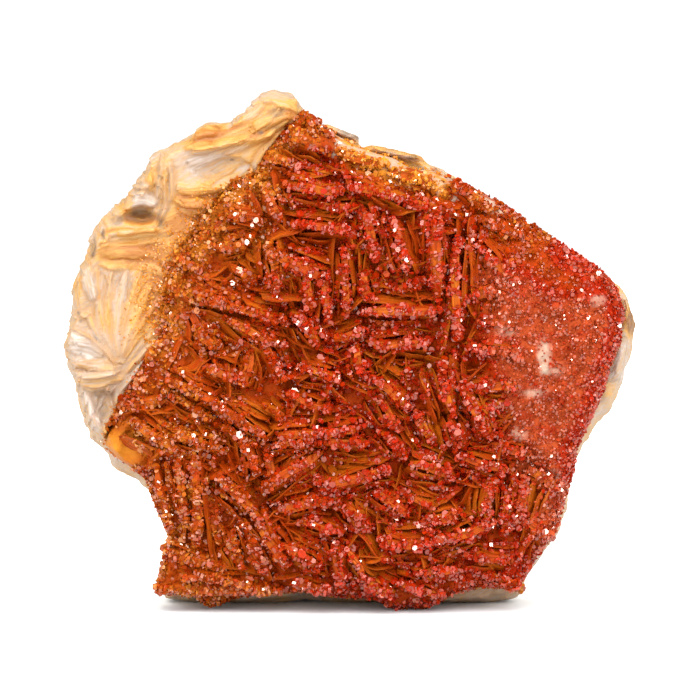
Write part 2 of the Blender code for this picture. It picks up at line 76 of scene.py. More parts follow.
# Edge of the crust seen from the front, clockwise from its top.
CRUST_OUTLINE = [
    (-7.4, 83.5), (-5.8, 83.0), (-4.6, 80.8), (-1.5, 79.2), (3.0, 77.0), (7.5, 75.7), (10.5, 73.8),
    (14.0, 73.8), (19.0, 71.2), (24.0, 68.9), (30.0, 64.7), (36.0, 60.7), (41.5, 57.0),
    (44.2, 54.0), (45.4, 50.0), (44.8, 45.0), (43.2, 41.0), (42.0, 36.6), (39.6, 31.5),
    (37.6, 27.0), (37.3, 23.8), (36.0, 19.5), (34.6, 13.8), (32.4, 11.0), (29.6, 6.4),
    (27.8, 3.6), (22.0, 4.0), (16.5, 2.6), (13.0, 0.5), (7.0, 0.3), (4.6, 2.1), (-1.0, 2.1),
    (-6.0, 3.2), (-12.0, 3.0), (-19.0, 2.4), (-23.8, 0.5), (-26.0, 2.4), (-32.6, 2.9),
    (-31.4, 8.0), (-30.1, 12.8), (-32.5, 18.0), (-34.2, 22.5), (-38.5, 25.1), (-41.0, 27.8),
    (-40.0, 31.0), (-38.2, 35.0), (-35.2, 40.0), (-31.2, 46.5), (-31.0, 52.0), (-29.0, 58.5),
    (-24.5, 66.0), (-20.0, 71.2), (-15.0, 73.8), (-13.5, 77.0), (-9.2, 82.0),
]

LEFT_EDGE = CRUST_OUTLINE[42:] + CRUST_OUTLINE[:1]    # where the crust meets the open rock
FREE_EDGE = CRUST_OUTLINE[2:43]                       # where the crust is the rim of the specimen
TOP_EDGE = CRUST_OUTLINE[3:10]                        # where pale barite is the rim
TOP_RIGHT = CRUST_OUTLINE[9:12]                       # where the druse is orange
RIGHT_RIM = CRUST_OUTLINE[11:21]                      # where it is deepest red

# Blades of barite that stand up from the crust, as the line of each crest:
# (x and z of one end, x and z of the other, height above the valley floor, lean of the crest).
BLADES = [
    # long diagonal blades on the left
    (-29.5, 41.0, -21.5, 37.5, 6.5, -1.6), (-22.0, 37.6, -13.0, 31.6, 7.2, -1.8),
    (-30.0, 38.6, -21.5, 33.4, 5.0, -1.2), (-38.0, 35.2, -30.5, 36.6, 3.2, -0.6),
    (-35.5, 33.4, -27.0, 28.2, 5.0, -1.2), (-29.0, 31.2, -20.5, 28.6, 5.6, -1.0),
    (-21.0, 33.0, -15.5, 29.6, 6.0, -1.0),
    # rim and columns of the lower left
    (-33.0, 24.5, -30.6, 14.0, 3.4, 0.6), (-29.6, 27.0, -28.2, 15.0, 4.6, 0.8),
    (-26.6, 28.0, -26.2, 12.0, 5.2, 0.8), (-22.2, 22.6, -16.6, 16.6, 6.0, 1.0),
    (-19.0, 31.0, -16.8, 23.6, 6.2, 1.2), (-17.0, 16.8, -11.6, 8.0, 6.4, 1.0),
    (-24.2, 21.0, -22.2, 11.0, 2.6, 0.6), (-30.2, 11.0, -21.0, 8.2, 2.8, -0.8),
    (-27.0, 7.4, -15.5, 5.2, 3.6, -0.8), (-31.6, 4.2, -12.0, 4.4, 2.4, -0.4),
    (-14.6, 28.0, -13.6, 21.0, 5.2, 0.8), (-20.4, 13.4, -18.4, 7.6, 4.2, 0.6),
    # middle of the left half
    (-12.2, 31.2, -5.0, 31.6, 7.0, -0.8), (-5.6, 31.5, 1.4, 32.2, 7.2, -0.8),
    (-12.4, 27.8, -4.8, 28.4, 7.0, 1.0), (-5.4, 28.4, 2.6, 28.0, 7.0, 1.0),
    (-13.6, 20.2, -4.0, 26.0, 6.6, 1.6), (-12.0, 18.6, -3.6, 20.4, 5.6, -1.0),
    (-3.6, 20.8, 6.4, 23.4, 6.6, 1.2), (-10.4, 12.6, -4.6, 8.6, 6.0, -0.8),
    (-8.0, 16.6, -1.4, 14.6, 5.6, -0.8), (-3.4, 12.0, -2.2, 4.6, 5.4, 0.8),
    (-8.8, 6.0, -3.6, 4.6, 4.2, -0.6),
    # upper left
    (-25.2, 55.2, -17.6, 52.6, 5.4, -1.4), (-18.0, 52.8, -9.6, 50.4, 6.2, -1.4),
    (-14.2, 62.0, -12.6, 54.4, 6.4, 0.8), (-12.4, 61.6, -3.0, 57.0, 6.8, -1.0),
    (-22.0, 60.4, -16.0, 61.8, 4.6, 1.0), (-27.6, 51.6, -25.0, 44.0, 3.0, 0.8),
    (-23.6, 42.2, -17.6, 40.2, 5.4, -0.8), (-20.0, 50.6, -10.4, 45.8, 5.8, -1.0),
    (-10.2, 50.0, -6.0, 44.8, 6.8, 1.0), (-8.2, 59.4, -7.4, 50.4, 5.8, 0.8),
    (-5.0, 58.2, -4.6, 50.0, 6.2, 0.8), (-2.0, 61.4, -1.6, 50.4, 7.4, 1.0),
    (-10.4, 72.6, -1.4, 71.6, 6.4, -0.8), (-9.2, 66.4, 0.6, 65.0, 6.2, -0.8),
    (-20.0, 67.4, -14.0, 66.6, 4.0, -0.6), (-14.6, 71.4, -12.6, 65.8, 5.0, 0.8),
    (-9.6, 79.6, -3.6, 76.8, 4.6, 0.6), (-15.4, 47.4, -12.2, 39.4, 5.8, 0.8),
    (-8.0, 42.6, -1.6, 40.4, 6.6, -0.8), (-9.4, 37.6, -2.6, 35.0, 6.2, -0.8),
    # upper middle and right
    (0.4, 72.4, 9.0, 70.4, 5.4, -0.8), (9.4, 69.6, 18.4, 67.2, 4.6, -0.6),
    (1.8, 67.6, 3.4, 59.6, 6.6, 0.8), (6.4, 66.0, 8.8, 57.4, 6.8, 0.8),
    (13.2, 68.0, 13.6, 53.0, 7.4, 1.0), (16.6, 62.6, 17.0, 46.4, 6.8, 0.8),
    (2.2, 50.0, 14.8, 50.2, 7.0, 1.0), (3.0, 46.4, 13.2, 46.6, 6.4, -0.8),
    (20.4, 61.4, 25.4, 56.4, 4.6, 0.8), (19.8, 54.0, 26.2, 54.4, 4.6, -0.6),
    (19.8, 44.2, 29.4, 42.6, 6.0, 0.8), (19.6, 38.8, 28.0, 39.4, 5.6, -0.8),
    (21.0, 35.4, 28.4, 36.8, 4.6, -0.8), (1.4, 57.4, 2.8, 52.0, 5.6, 0.6),
    # lower right
    (14.2, 42.0, 16.2, 33.4, 7.2, 0.8), (16.0, 33.0, 17.2, 27.8, 6.6, 0.8),
    (17.6, 38.0, 20.6, 33.0, 6.6, 0.8), (20.4, 33.2, 22.4, 29.8, 5.8, 0.8),
    (4.4, 40.6, 10.4, 35.4, 6.8, -0.8), (3.6, 37.0, 7.2, 31.0, 6.4, 0.8),
    (10.2, 24.8, 17.0, 22.4, 6.2, 1.0), (4.6, 30.6, 8.6, 25.8, 6.2, 0.8),
    (22.6, 22.6, 22.0, 15.8, 6.4, 0.8), (18.4, 27.6, 26.4, 25.0, 5.6, -0.8),
    (11.6, 16.0, 17.6, 18.0, 5.8, -0.8), (5.0, 11.4, 12.4, 10.8, 6.6, 1.0),
    (12.0, 10.8, 24.2, 14.6, 6.4, 1.0), (3.8, 20.2, 9.0, 16.6, 5.8, 0.8),
    (11.0, 6.2, 18.4, 6.8, 4.8, 0.8), (1.8, 5.4, 6.4, 2.8, 4.6, 0.6),
    (8.0, 4.8, 14.6, 2.6, 4.0, 0.6), (28.6, 22.6, 27.2, 15.6, 4.4, 0.6),
    (-1.0, 10.6, 1.8, 6.2, 5.6, 0.8), (-1.4, 18.2, 2.6, 13.8, 5.8, 0.8),
    # short blades that fill in between the long ones
    (-7.4, 82.2, -5.6, 77.4, 2.8, 0.6), (-13.2, 76.8, -8.0, 75.4, 3.6, -0.6),
    (-1.6, 77.6, 6.0, 75.6, 2.6, -0.5), (7.0, 74.4, 14.0, 72.2, 2.8, -0.5),
    (17.4, 71.2, 22.6, 67.2, 2.8, 0.6), (21.8, 66.6, 29.4, 63.4, 3.2, -0.6),
    (26.0, 60.6, 26.8, 53.6, 4.4, 0.6), (22.2, 53.0, 21.4, 47.0, 4.2, 0.6),
    (-28.6, 60.2, -24.4, 58.0, 2.4, -0.5), (-29.6, 55.6, -26.0, 53.2, 2.2, -0.5),
    (-19.4, 59.0, -15.4, 56.4, 4.4, -0.6), (-25.4, 48.6, -21.6, 45.2, 4.2, -0.6),
    (-33.4, 42.2, -30.6, 45.4, 2.2, 0.5), (-16.8, 44.4, -18.4, 38.6, 4.6, 0.6),
    (0.2, 45.2, 2.0, 39.4, 6.0, 0.6), (10.6, 33.2, 13.4, 28.4, 4.6, 0.6),
    (23.4, 29.2, 30.2, 27.4, 4.2, -0.6), (30.4, 24.6, 34.6, 21.8, 2.8, -0.6),
    (25.4, 20.6, 25.0, 13.6, 5.0, 0.6), (29.4, 16.4, 33.6, 13.4, 3.2, -0.6),
    (19.6, 10.8, 27.0, 9.4, 3.8, -0.6), (22.6, 7.2, 28.4, 5.2, 2.6, -0.5),
    (9.4, 20.8, 14.4, 18.8, 4.8, -0.6), (-17.2, 12.6, -14.8, 7.2, 4.6, 0.6),
    (-7.6, 24.2, -1.2, 16.8, 4.6, 0.6), (12.4, 14.8, 18.8, 13.0, 5.2, -0.6),
    (-6.0, 69.4, 1.6, 68.6, 5.0, -0.6),
    (7.4, 53.6, 12.4, 55.4, 5.2, 0.6), (-13.8, 35.8, -9.8, 32.8, 5.2, -0.6),
    (-3.6, 46.6, 2.4, 48.4, 5.4, -0.6), (21.4, 49.2, 26.4, 47.6, 4.6, 0.5),
]

# Larger tablets that catch the light: x, z and radius.
LARGE_TABLETS = [
    (-15.5, 66.0, 0.55), (-15.0, 65.3, 0.40), (-16.2, 65.2, 0.36), (-18.5, 62.0, 0.50),
    (-17.8, 61.6, 0.40), (-13.5, 69.5, 0.45), (-13.0, 68.8, 0.36), (14.3, 41.2, 0.42),
    (15.7, 41.1, 0.42), (-8.0, 10.6, 0.70), (-7.0, 9.9, 0.45), (-16.0, 12.6, 0.60),
    (-6.0, 9.4, 0.50), (-0.9, 34.3, 0.50), (0.1, 34.8, 0.30), (-1.7, 33.9, 0.36),
    (7.3, 44.3, 0.40), (9.3, 41.0, 0.35), (19.0, 46.2, 0.40), (21.1, 53.6, 0.42),
    (-1.2, 38.8, 0.40), (2.3, 31.8, 0.40), (22.5, 39.2, 0.35), (-10.6, 51.4, 0.40),
    (-20.4, 44.4, 0.40), (-24.0, 33.0, 0.42), (-12.0, 22.0, 0.42), (5.0, 58.0, 0.38),
    (-5.0, 70.0, 0.38), (12.0, 26.0, 0.38), (-26.0, 30.2, 0.45), (-27.6, 20.4, 0.40),
]

# Thinner plates that lean on the sides of a blade: side, gap between their crests and the
# blade's, and share of its height.
SIDE_PLATES = [(1, 1.0, 0.84), (-1, 1.0, 0.80), (1, 2.1, 0.70), (-1, 2.1, 0.68), (1, 3.2, 0.58),
               (-1, 3.2, 0.56)]

# Smooth swelling of fine crystals on the right of the crust: middle, radii and turn.
DRUSE_MIDDLE = (33.0, 44.0)
DRUSE_RADII = (12.5, 21.0)
DRUSE_RISE = 3.6
DRUSE_TURN = math.radians(-14.0)

# Places where the blades are bare: middle, reach across and up, and how bare.
BARE_PLACES = [
    (-19.5, 38.6, 6.0, 2.0, 1.0), (-14.0, 35.4, 3.0, 1.6, 1.0), (7.0, 52.4, 5.5, 1.9, 1.0),
    (-19.0, 57.6, 5.6, 1.7, 1.0), (21.5, 41.2, 5.0, 1.3, 1.0), (-6.0, 63.2, 6.4, 1.7, 1.0),
    (5.0, 7.4, 4.6, 1.2, 1.0), (4.6, 13.6, 2.8, 1.9, 1.0), (-23.0, 15.6, 2.3, 5.0, 1.0),
    (12.6, 19.6, 1.8, 2.9, 1.0), (-20.4, 25.6, 1.9, 2.9, 1.0), (23.0, 51.4, 3.4, 1.8, 1.0),
    (-26.6, 46.4, 1.9, 4.0, 1.0), (-10.0, 46.6, 2.2, 2.8, 1.0), (-5.5, 29.8, 7.0, 0.9, 1.0),
    (10.4, 62.4, 1.5, 4.4, 0.9), (11.4, 43.6, 5.0, 1.3, 0.9), (0.6, 24.6, 4.2, 1.1, 0.9),
    (-9.4, 15.4, 3.0, 1.4, 0.9), (19.6, 20.4, 2.4, 1.6, 0.9), (-28.2, 34.6, 4.4, 1.2, 0.8),
    (0.2, 55.4, 1.5, 4.0, 0.8), (13.6, 30.4, 2.0, 3.0, 0.8), (-15.4, 5.6, 5.0, 1.0, 0.8),
    (-38.8, 27.6, 4.0, 4.4, 1.0), (-18.4, 47.6, 3.6, 1.2, 0.8), (17.0, 8.6, 3.6, 1.1, 0.8),
]

# Places where pale barite shows through the druse, in the same form.
PALE_PATCHES = [
    (32.2, 43.6, 1.3, 3.2, 0.9), (33.6, 41.0, 2.4, 1.2, 0.6), (41.2, 52.4, 1.7, 1.1, 0.7),
    (28.0, 30.2, 1.8, 1.5, 0.6), (33.4, 23.0, 2.2, 1.4, 0.6), (30.6, 37.4, 2.6, 0.8, 0.7),
    (26.0, 47.6, 2.2, 1.0, 0.5),
]

# Smooth orange tongue of the ground at the lower left.
TONGUE = [(-38.4, 27.6, 5.0, 5.0, 1.0)]

# Sheaves of barite on the open rock: x and z of the start, the middle and the end, half width,
# lift, which side is the steep one (1 left, -1 right, 0 neither), and stain.
SHEAVES = [
    # horn at the top
    (-15.0, 85.9, -11.3, 86.1, -7.4, 83.6, 1.6, 0.7, 0.0, 0.15),
    (-7.4, 83.9, -10.4, 80.5, -14.1, 76.7, 0.6, 0.8, 0.4, 0.10),
    (-12.7, 83.1, -19.6, 79.3, -26.5, 76.7, 1.0, 0.5, 0.5, 0.60),
    (-10.1, 82.2, -15.9, 78.8, -20.7, 76.7, 0.6, 0.4, 0.3, 0.20),
    (-8.7, 81.6, -13.9, 77.3, -15.9, 73.9, 0.9, 0.5, 0.0, 0.05),
    (-16.7, 75.0, -19.6, 72.7, -23.0, 71.3, 0.9, 0.5, -0.4, -0.20),
    (-14.4, 85.1, -16.2, 83.3, -19.6, 81.6, 0.8, 0.5, 0.0, 0.45),
    (-11.5, 84.4, -15.5, 81.8, -20.5, 79.8, 0.7, 0.4, 0.3, 0.30),
    (-28.8, 79.0, -25.4, 80.6, -21.8, 80.4, 1.3, 0.8, -0.5, 1.00),
    (-27.6, 77.6, -24.6, 78.4, -21.8, 77.8, 0.9, 0.6, -0.6, 0.95),
    # golden tongue and the stem beside it
    (-28.8, 70.6, -25.3, 70.5, -21.6, 70.8, 0.7, 0.8, -0.5, 0.55),
    (-29.4, 69.3, -25.9, 68.7, -22.3, 69.1, 1.0, 0.9, -0.8, 0.75),
    (-28.6, 67.7, -25.6, 66.8, -23.0, 67.2, 0.7, 0.6, -0.8, 0.80),
    (-31.1, 76.9, -31.8, 72.7, -32.2, 68.7, 0.6, 0.7, 0.0, 0.25),
    (-29.9, 75.5, -29.6, 71.6, -29.9, 68.7, 0.6, 0.7, 0.0, 0.15),
    (-31.0, 72.4, -30.5, 68.7, -32.2, 64.7, 0.5, 0.6, 0.0, 0.35),
    (-34.6, 75.6, -33.4, 73.2, -33.0, 70.4, 0.8, 0.6, 0.0, 0.70),
    (-37.0, 72.8, -35.2, 71.8, -33.0, 71.2, 0.9, 0.6, 0.0, 0.05),
    # pillow, and the broken plates under it
    (-38.0, 67.8, -34.8, 69.2, -31.9, 68.3, 1.5, 1.2, -0.5, -0.10),
    (-40.2, 63.4, -38.0, 63.7, -35.8, 64.1, 0.7, 0.3, 0.0, 0.10),
    (-40.4, 62.3, -36.2, 62.7, -32.0, 63.4, 0.6, 0.3, 0.0, 0.35),
    (-41.5, 61.5, -36.8, 61.9, -31.1, 62.4, 0.6, 0.6, -0.6, 0.45),
    (-41.6, 60.1, -37.4, 60.5, -31.8, 59.8, 1.3, 0.6, -0.2, 0.80),
    (-41.8, 58.4, -38.3, 58.2, -35.2, 58.6, 0.9, 0.5, -0.3, 0.70),
    (-36.4, 58.2, -33.2, 57.9, -30.0, 56.2, 0.9, 0.6, -0.7, 0.75),
    (-43.0, 66.2, -42.0, 64.9, -41.0, 63.4, 0.9, 0.7, 0.0, -0.35),
    # lens and rim on the far left
    (-44.2, 58.9, -43.4, 55.5, -42.6, 52.2, 1.4, 1.1, 0.0, 0.05),
    (-45.1, 57.7, -45.9, 54.4, -45.4, 51.2, 0.5, 0.7, 0.0, 0.85),
    (-42.2, 58.0, -41.9, 55.0, -41.8, 52.4, 0.5, 0.5, 0.0, 0.65),
    (-45.6, 50.6, -44.4, 49.8, -43.0, 50.4, 0.6, 0.4, 0.0, 0.20),
    # ribs of the fan, from the left round to the right
    (-39.2, 43.0, -42.4, 47.5, -43.2, 51.4, 0.8, 0.30, 0.3, 0.25),
    (-38.9, 42.9, -41.6, 49.6, -41.4, 56.4, 1.1, 0.35, -0.2, 0.05),
    (-38.7, 42.9, -40.4, 50.1, -39.4, 57.2, 0.7, 0.30, 0.2, 0.35),
    (-38.4, 42.9, -38.9, 49.6, -37.0, 57.6, 1.2, 0.40, -0.3, 0.00),
    (-38.2, 42.9, -37.2, 50.3, -34.8, 56.9, 0.6, 0.25, 0.3, 0.60),
    (-38.0, 42.9, -36.2, 48.8, -33.0, 55.4, 1.1, 0.40, -0.2, 0.35),
    (-37.7, 42.9, -34.8, 48.1, -31.4, 53.2, 0.7, 0.30, 0.3, 0.75),
    (-37.3, 42.7, -34.0, 47.2, -29.9, 50.9, 0.8, 0.40, -0.4, 0.70),
    (-37.0, 41.8, -34.2, 45.4, -30.2, 48.8, 0.7, 0.50, 0.3, 0.15),
    (-37.5, 40.0, -34.7, 43.2, -31.9, 46.0, 0.6, 0.7, 0.0, 0.60),
    (-38.4, 36.8, -34.9, 41.2, -31.4, 46.2, 0.5, 0.60, 0.5, -0.10),
    # lobe, and the steps that go down from it
    (-47.8, 44.2, -45.2, 45.2, -40.6, 43.4, 2.2, 0.45, -0.2, 0.05),
    (-46.4, 47.6, -42.9, 45.9, -38.8, 41.4, 0.4, 0.70, 0.0, 0.35),
    (-47.8, 41.9, -43.4, 41.3, -38.0, 41.3, 0.6, 0.6, -0.7, 0.30),
    (-46.9, 40.5, -42.6, 40.0, -38.0, 40.8, 0.7, 0.6, -0.7, 0.05),
    (-46.2, 38.7, -41.8, 38.8, -37.6, 39.7, 0.9, 0.9, -0.9, 0.65),
    (-45.2, 37.6, -43.3, 33.0, -41.8, 29.2, 1.6, 0.5, 0.0, -0.25),
    (-40.1, 38.1, -41.3, 35.4, -42.6, 32.6, 0.4, 0.5, 0.0, -0.10),
    (-38.8, 38.3, -39.9, 36.4, -39.4, 34.2, 0.4, 0.5, 0.0, 0.00),
    (-41.4, 29.2, -38.2, 28.0, -35.4, 25.0, 1.2, 0.6, 0.0, 0.95),
    # strip along the top right
    (-5.2, 81.4, -0.8, 80.8, 3.2, 77.8, 1.4, 0.9, -0.3, 0.40),
    (1.4, 78.4, 5.4, 77.9, 10.2, 76.4, 0.9, 0.8, -0.4, 0.45),
    (8.0, 77.2, 13.5, 75.8, 18.4, 72.0, 1.2, 0.9, -0.3, 0.42),
    (15.6, 73.8, 20.4, 71.2, 25.8, 67.8, 1.0, 0.6, -0.2, 0.45),
    (-3.4, 79.2, 0.6, 77.7, 4.9, 77.0, 0.8, 0.4, 0.0, -0.15),
    (3.0, 76.9, 9.2, 76.0, 14.6, 72.8, 0.9, 0.5, 0.0, -0.45),
    # right edge
    (46.2, 52.0, 47.6, 49.0, 47.0, 45.4, 1.0, 0.8, 0.0, 0.60),
    (46.4, 45.6, 45.2, 41.8, 43.0, 38.4, 1.8, 0.7, 0.0, -0.15),
    (42.4, 36.6, 40.4, 33.2, 39.2, 31.0, 0.8, 0.5, 0.0, -0.10),
    (40.4, 32.4, 39.6, 29.4, 38.0, 27.2, 0.9, 0.5, 0.0, 0.15),
]

# Scoops in the open rock: middle, reach across and up, and depth.
SCOOPS = [
    (-21.2, 74.0, 6.6, 2.6, 0.6), (-35.1, 66.2, 3.4, 1.3, 1.0), (-41.6, 35.2, 1.8, 2.6, 0.8),
    (-24.0, 66.0, 3.0, 0.9, 0.5),
]

# Stain on the open rock: middle, reach across and up, and how much of it. The first, in the recess under
# the pillow, is partly rust and partly painted shade.
STAINS_AND_RECESS_SHADE = [
    (-34.8, 65.8, 3.6, 1.2, 1.2), (-21.0, 81.6, 3.4, 1.4, 0.7), (-24.6, 69.2, 5.0, 2.4, 0.6),
    (-12.0, 84.6, 5.0, 2.4, 0.35), (-9.0, 83.0, 2.4, 3.4, 0.30), (-25.2, 78.6, 3.6, 1.6, 0.5),
    (-39.4, 50.0, 3.0, 6.0, 0.20), (-44.6, 61.0, 2.0, 4.0, 0.35), (-45.6, 55.0, 1.2, 3.0, 0.40),
    (-33.4, 50.4, 3.4, 6.5, 0.60), (-37.0, 59.8, 6.4, 2.8, 0.45), (-23.0, 80.6, 2.4, 1.4, 0.8),
    (-26.8, 64.6, 5.0, 3.4, 0.8), (-37.4, 68.6, 1.5, 2.4, 0.8), (-31.0, 74.0, 2.6, 3.0, 0.3),
    (-36.0, 60.5, 6.6, 3.0, 0.75), (-25.0, 79.8, 5.0, 2.2, 0.75), (-25.5, 68.5, 4.4, 2.4, 0.45),
    (-38.0, 27.0, 6.0, 5.0, 0.9), (-16.0, 80.6, 9.0, 2.6, 0.50), (6.0, 76.4, 14.0, 3.0, 0.6),
    (-22.0, 74.4, 7.4, 3.0, -0.40), (-44.5, 45.0, 4.0, 3.0, -0.25), (-43.4, 33.0, 2.6, 4.4, -0.35),
    (47.6, 48.4, 1.8, 3.4, 1.1), (45.4, 41.0, 3.2, 4.6, -0.35), (-34.0, 69.2, 2.6, 1.4, -0.35),
    (-34.6, 74.0, 2.4, 2.0, 0.45), (-39.8, 68.8, 1.6, 1.8, 0.45), (-31.6, 53.6, 2.6, 5.0, 0.45),
    (-36.4, 63.8, 5.6, 0.9, 0.9),
]

# Brown to black marks on the open rock, in the same form. The wide one in the recess under the pillow
# and the wide one in the recess under the steps on the far left are painted shade.
MARKS_AND_RECESS_SHADE = [
    (-42.8, 61.0, 0.8, 2.0, 0.9), (-35.2, 66.2, 3.6, 1.1, 0.80), (-12.2, 83.7, 2.0, 1.0, 0.55),
    (-38.8, 65.6, 1.4, 1.0, 0.6), (-31.0, 65.0, 1.0, 1.2, 0.4),
    (-27.0, 75.3, 0.35, 0.3, 1.0), (-19.6, 75.7, 0.45, 0.25, 0.8), (-14.8, 80.4, 0.5, 0.4, 0.9),
    (-45.1, 50.3, 0.4, 0.35, 1.0), (-44.9, 48.9, 0.3, 0.3, 0.7), (-41.0, 63.4, 0.4, 1.1, 0.8),
    (-31.6, 66.0, 0.6, 1.6, 0.5), (-31.6, 72.6, 0.6, 3.4, 0.35), (-37.6, 69.4, 0.6, 1.6, 0.55),
    (-41.4, 36.6, 2.0, 1.0, 0.6), (-39.6, 36.6, 0.5, 1.6, 0.5), (-44.9, 36.5, 0.2, 0.2, 0.5),
    (-40.4, 32.6, 1.6, 1.8, 0.35), (-44.8, 43.5, 0.22, 0.2, 1.0), (-30.9, 63.2, 1.4, 0.6, 0.45),
    (-1.4, 80.0, 1.9, 0.9, 0.35), (12.0, 75.7, 2.6, 0.8, 0.3), (20.4, 71.4, 2.2, 0.8, 0.3),
    (0.4, 79.0, 1.6, 0.5, 0.5), (10.2, 75.9, 1.2, 0.5, 0.6), (47.4, 48.2, 1.3, 2.8, 0.8),
    (39.2, 29.4, 1.4, 2.6, 0.5), (46.2, 55.0, 0.6, 0.5, 0.8), (-13.0, 81.2, 2.4, 0.3, 0.35),
    (0.2, 79.6, 2.2, 0.8, 0.4), (6.6, 77.0, 1.6, 0.6, 0.35), (15.0, 74.6, 2.0, 0.6, 0.4),
]


def length_setting(name, description, millimetres):
    """A size that a user can change."""
    return FloatProperty(name=name, description=description, default=millimetres * MM,
                         min=0.05 * MM, unit="LENGTH")


def colour_setting(name, description, colour):
    """A colour that a user can change."""
    return FloatVectorProperty(name=name, description=description, default=colour, size=3,
                               min=0.0, max=1.0, subtype="COLOR")


def count_setting(name, description, count):
    """A number of things that a user can change."""
    return IntProperty(name=name, description=description, default=count, min=0)


class SpecimenSizes(bpy.types.PropertyGroup):
    """Sizes of what grows on the rock."""

    grain: length_setting("Rock grain", "Spacing of the points on the rock's surface", 0.55)
    ground_grain: length_setting(
        "Ground grain", "Spacing of the points on the ground of the crust", 0.62)
    blade_half: length_setting(
        "Blade half thickness", "Half the thickness of a blade at its root", 0.62)
    crystal_low: length_setting("Smallest crystal", "Radius of the smallest tablet on a crest", 0.22)
    crystal_high: length_setting("Largest crystal", "Radius of the largest tablet on a crest", 0.74)
    druse_size: length_setting("Druse crystal", "Radius of the fine tablets of the druse", 0.24)
    seed: count_setting("Seed", "Changes where the crystals grow", 7)


class SpecimenColours(bpy.types.PropertyGroup):
    """Colours of the minerals."""

    vanadinite_red: colour_setting(
        "Red", "Deep colour of the crystals on the right", (0.38, 0.0115, 0.0006))
    vanadinite_orange: colour_setting(
        "Orange", "Lighter colour of the crystals on the left", (0.34, 0.040, 0.0008))
    vanadinite_gold: colour_setting(
        "Gold", "Palest colour of the crystals, beside the open rock", (0.66, 0.25, 0.022))
    frosted_red: colour_setting(
        "Frosted red", "Colour of the fine crystals of the druse", (0.40, 0.056, 0.014))
    stained_barite: colour_setting(
        "Stained blades", "Orange brown of the bare blades", (0.37, 0.040, 0.001))
    golden_barite: colour_setting(
        "Golden blades", "Golden bands on the bare blades", (0.50, 0.140, 0.006))
    cream_barite: colour_setting("Cream rock", "Pale colour of the clean rock", (0.475, 0.352, 0.262))
    white_barite: colour_setting(
        "White rock", "Palest colour of the clean rock", (0.63, 0.56, 0.505))
    ochre_barite: colour_setting("Ochre rock", "Iron stain on the rock", (0.61, 0.325, 0.070))
    rust_barite: colour_setting("Rusty rock", "Deepest iron stain on the rock", (0.46, 0.17, 0.02))


def deselect():
    """Nothing stays selected, so that an operator acts only on the next thing added."""
    if bpy.context.object and bpy.context.object.mode != "OBJECT":
        bpy.ops.object.mode_set(mode="OBJECT")
    bpy.ops.object.select_all(action="DESELECT")


def chosen(obj):
    """Make an object the only selected and the active one."""
    deselect()
    obj.select_set(True)
    bpy.context.view_layer.objects.active = obj
    return obj


@contextmanager
def editing(obj, kind="VERT", picked=None):
    """Edit an object with all of it selected, or only the picked vertices or faces."""
    chosen(obj)
    bpy.ops.object.mode_set(mode="EDIT")
    bpy.ops.mesh.select_mode(type=kind)
    bpy.ops.mesh.select_all(action="SELECT" if picked is None else "DESELECT")
    if picked is not None:
        bpy.ops.object.mode_set(mode="OBJECT")
        items = obj.data.vertices if kind == "VERT" else obj.data.polygons
        items.foreach_set("select", picked)
        bpy.ops.object.mode_set(mode="EDIT")
    yield
    bpy.ops.object.mode_set(mode="OBJECT")


def apply_modifiers(obj):
    """Apply an object's modifiers in order."""
    chosen(obj)
    for modifier in list(obj.modifiers):
        bpy.ops.object.modifier_apply(modifier=modifier.name)
    return obj


def values_of(items, field):
    """A place or direction of every vertex or face of a mesh, as an array."""
    values = np.empty(len(items) * 3, np.float32)
    items.foreach_get(field, values)
    return values.reshape(-1, 3).astype(float)


def points_of(mesh):
    """The vertices of a mesh, in millimetres, and their normals."""
    return values_of(mesh.vertices, "co") / MM, values_of(mesh.vertex_normals, "vector")


def set_points(mesh, points):
    """Move the vertices of a mesh to places in millimetres."""
    mesh.vertices.foreach_set("co", np.ascontiguousarray(points * MM, np.float32).ravel())
    mesh.update()


def add_attribute(mesh, name, values):
    """Give each vertex of a mesh a number, or three, that its material reads."""
    kind, field = ("FLOAT", "value") if np.ndim(values) == 1 else ("FLOAT_VECTOR", "vector")
    layer = mesh.attributes.new(name=name, type=kind, domain="POINT")
    layer.data.foreach_set(field, np.ascontiguousarray(values, np.float32).ravel())


def met_from_front(name, x, z):
    """Where a line from the front first meets a piece, and its normal there, for each place.

    Both are in metres, and both are None where the line misses it.
    """
    tree = BVHTree.FromObject(bpy.data.objects[name], bpy.context.evaluated_depsgraph_get())
    for place_x, place_z in zip(x, z):
        start = Vector((place_x * MM, IN_FRONT_Y * MM, place_z * MM))
        yield tree.ray_cast(start, Vector((0.0, 1.0, 0.0)))[:2]


def step(low, high, value):
    """0 below low, 1 above high and smooth between them."""
    share = np.clip((value - low) / (high - low), 0.0, 1.0)
    return share * share * (3.0 - 2.0 * share)


def fade(low, high, value):
    """1 below low, 0 above high and smooth between them."""
    return 1.0 - step(low, high, value)


def waves(x, z, spacing, seed, layers=3):
    """Smooth irregular swell between about -1 and 1, repeatable for a seed."""
    rng = np.random.default_rng(seed)
    total = np.zeros_like(x, float)
    for layer in range(layers):
        for _ in range(5):
            angle = rng.uniform(0.0, 2.0 * math.pi)
            reach = spacing * rng.uniform(0.7, 1.4) / 1.9 ** layer
            phase = rng.uniform(0.0, 2.0 * math.pi)
            run = (x * math.cos(angle) + z * math.sin(angle)) * 2.0 * math.pi / reach
            total += np.sin(run + phase) * 0.36 / 1.7 ** layer
    return total


def lumps(points, spacing, seed):
    """Blender's own fractal noise at each point, between about -1 and 1."""
    shift = Vector((seed * 7.3, seed * 3.1, seed * 5.7))
    return np.array([noise.fractal(Vector(point) / spacing + shift, 0.9, 2.1, 4) for point in points])


